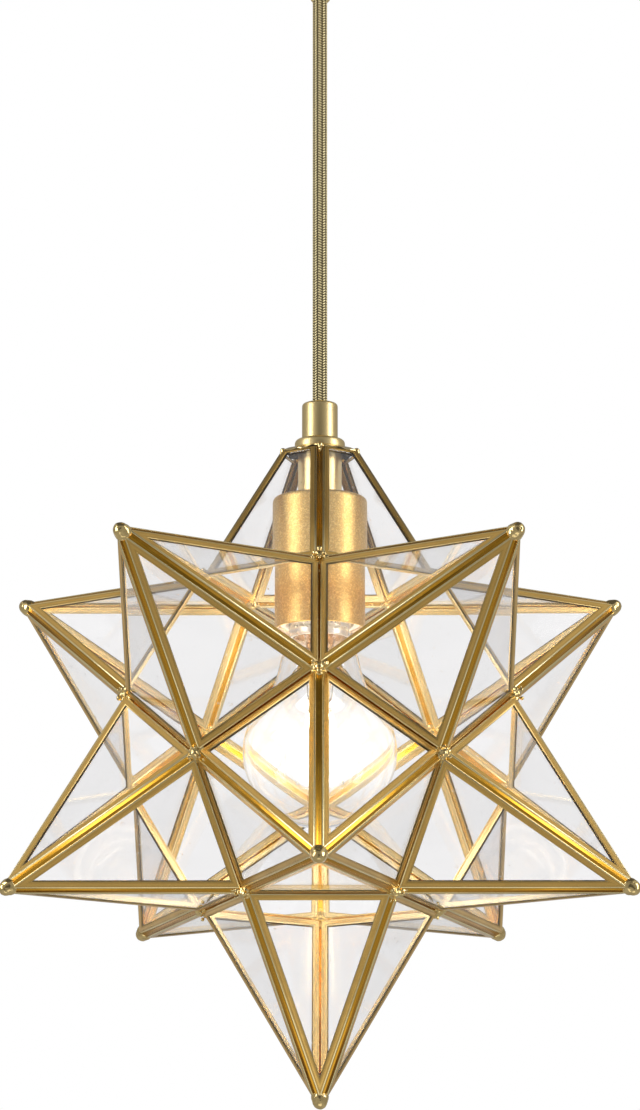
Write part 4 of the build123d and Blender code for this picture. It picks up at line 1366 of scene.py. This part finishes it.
class STAR_OT_stage(BuildPiece):
    """Pale floor, soft lights, white surroundings and the camera"""
    bl_idname = "star.stage"
    bl_label = "Stage"

    def build(self, scene):
        self.floor()
        self.surroundings(scene)
        star = Star(scene.star_sizes).centre
        self.softbox("softbox_left", (-0.68, -0.34, -0.15), (0, 0, -0.25), (0.3, 0.7), 2.4)
        self.softbox("softbox_right", (0.72, -0.27, -0.15), (0, 0, -0.25), (0.3, 0.7), 2.6)
        self.softbox("softbox_low", (0, -0.55, -1.45), star, (0.9, 0.5), 0.8)
        self.glow(scene.pendant_colours.glow)
        self.camera(scene)

    def place_light(self, data, place):
        light = bpy.data.objects.new(data.name, data)
        light.location = place
        light.visible_camera = False
        bpy.context.scene.collection.objects.link(light)
        return light

    def softbox(self, name, place, target, size, energy):
        data = bpy.data.lights.new(name, "AREA")
        data.shape = "RECTANGLE"
        data.size, data.size_y = size
        data.energy = energy
        light = self.place_light(data, place)
        light.rotation_euler = (Vector(target) - Vector(place)).to_track_quat("-Z", "Y").to_euler()

    def glow(self, tone):
        """What the lit lamp casts on the star, from the middle of its filaments."""
        data = bpy.data.lights.new("lamp_glow", "POINT")
        data.energy = 0.75
        data.color = tone
        data.shadow_soft_size = 14 * MM
        low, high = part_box("bulb_filaments")
        light = self.place_light(data, [(a + b) / 2 for a, b in zip(low, high)])
        light.visible_transmission = False

    def floor(self):
        """A pale floor far below, which shows white to the camera but for a little of its shade, and runs
        into the white behind it."""
        finish = Finish("pale_floor")
        body = finish.mix(finish.noise(30, 3), (0.86, 0.86, 0.86), (0.80, 0.80, 0.80))
        shade = finish.node("ShaderNodeBsdfDiffuse", {"Color": body})
        white = finish.node("ShaderNodeEmission", {"Color": (1, 1, 1), "Strength": 1.0})
        seen = finish.node("ShaderNodeLightPath", output="Is Camera Ray")
        away = finish.node("ShaderNodeVectorMath", {0: finish.place}, "Value", operation="LENGTH")
        share = 0.8 + 0.2 * finish.between(away, 6.0, 16.0)
        material = finish.done(finish.node("ShaderNodeMixShader", {0: seen * share, 1: shade, 2: white}))
        mesh = bpy.data.meshes.new("floor")
        corners = [(x * FLOOR_REACH, y * FLOOR_REACH, FLOOR_HEIGHT)
                   for x, y in ((-1, -1), (1, -1), (1, 1), (-1, 1))]
        mesh.from_pydata(corners, [], [(0, 1, 2, 3)])
        mesh.materials.append(material)
        floor = bpy.data.objects.new("floor", mesh)
        floor.visible_glossy = False
        bpy.context.scene.collection.objects.link(floor)

    def surroundings(self, scene):
        """White behind everything that is seen, soft grey fill, and a studio's light and dark in gloss."""
        world = bpy.data.worlds.new("studio")
        world.use_nodes = True
        world.node_tree.nodes.clear()
        graph = Graph(world.node_tree)
        ray = graph.node("ShaderNodeLightPath", output="Is Camera Ray")
        seen = graph.math("MAXIMUM", ray, ray.out("Is Transmission Ray"))
        glossy = ray.out("Is Glossy Ray") * (1 - seen)
        way = graph.node("ShaderNodeTexCoord", output="Generated")
        x, y, z = (graph.along(way, axis) for axis in "XYZ")
        above = graph.between(z, 0.6, 0.85)
        below = graph.between(z, -0.35, -0.65)
        behind = graph.between(y, 0.55, 0.9)
        low_band = graph.between(z, -0.4, -0.12) * graph.between(z, 0.12, -0.05)
        facing = graph.between(y, -0.86, -0.985)
        beside = graph.between(z, 0.5, 0.7) * graph.between(abs(x), 0.4, 0.65)
        studio = (0.3 + 0.06 * below + 0.2 * behind * low_band) * (1 - 0.7 * facing) * (1 - 0.7 * above)
        studio = studio + 0.3 * beside
        bounced = graph.math("MINIMUM", ray.out("Glossy Depth"), 1.0)
        enclosed = bounced * ray.out("Is Transmission Ray")  # gloss seen from inside the glass
        level = seen * (1 - enclosed) + enclosed * (0.3 + 1.3 * studio)
        fill = 0.7
        level = level + glossy * studio + (1 - seen) * (1 - glossy) * fill
        backdrop = graph.node("ShaderNodeBackground", {"Color": (1, 1, 1), "Strength": level})
        graph.node("ShaderNodeOutputWorld", {"Surface": backdrop})
        scene.world = world
        scene.view_settings.view_transform = "Standard"
        scene.cycles.max_bounces = 32
        scene.cycles.transmission_bounces = 32
        scene.cycles.transparent_max_bounces = 48
        scene.cycles.glossy_bounces = 8

    def camera(self, scene):
        """The photograph's point of view: a long lens, a little below the star."""
        data = bpy.data.cameras.new("camera")
        data.sensor_fit = "VERTICAL"
        data.sensor_height = SENSOR_HEIGHT
        data.lens = CAMERA_LENS
        data.clip_start = 0.05
        data.clip_end = 60
        camera = bpy.data.objects.new("camera", data)
        camera.location = CAMERA_PLACE
        camera.rotation_euler = (math.radians(90) + CAMERA_RISE, 0, CAMERA_TURN)
        scene.collection.objects.link(camera)
        scene.camera = camera


class STAR_PT_panel(bpy.types.Panel):
    """Sizes, colours and builders of the pendant"""
    bl_label = "Star pendant"
    bl_space_type = "VIEW_3D"
    bl_region_type = "UI"
    bl_category = "Star pendant"

    def draw(self, context):
        for name, (title, group) in GROUPS.items():
            box = self.layout.box()
            box.label(text=title)
            for size in group.__annotations__:
                box.prop(getattr(context.scene, name), size)
        for operator_class in OPERATORS:
            self.layout.operator(operator_class.bl_idname)


GROUPS = {"star_sizes": ("Star", StarSizes), "lamp_sizes": ("Lamp", LampSizes),
          "cord_sizes": ("Cord", CordSizes), "pendant_colours": ("Colours", FinishColours)}
OPERATORS = (STAR_OT_stage, STAR_OT_cord, STAR_OT_channels, STAR_OT_solder, STAR_OT_cap, STAR_OT_stem,
             STAR_OT_cup, STAR_OT_lampholder, STAR_OT_lamp, STAR_OT_canopy, STAR_OT_kept_parts)


def register():
    for name, (_, group) in GROUPS.items():
        bpy.utils.register_class(group)
        setattr(bpy.types.Scene, name, PointerProperty(type=group))
    for operator_class in OPERATORS:
        bpy.utils.register_class(operator_class)
    bpy.utils.register_class(STAR_PT_panel)


def unregister():
    bpy.utils.unregister_class(STAR_PT_panel)
    for operator_class in reversed(OPERATORS):
        bpy.utils.unregister_class(operator_class)
    for name, (_, group) in GROUPS.items():
        delattr(bpy.types.Scene, name)
        bpy.utils.unregister_class(group)


def main():
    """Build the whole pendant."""
    register()
    for operator_class in OPERATORS:
        group, name = operator_class.bl_idname.split(".")
        getattr(getattr(bpy.ops, group), name)()


if __name__ == "__main__":
    main()
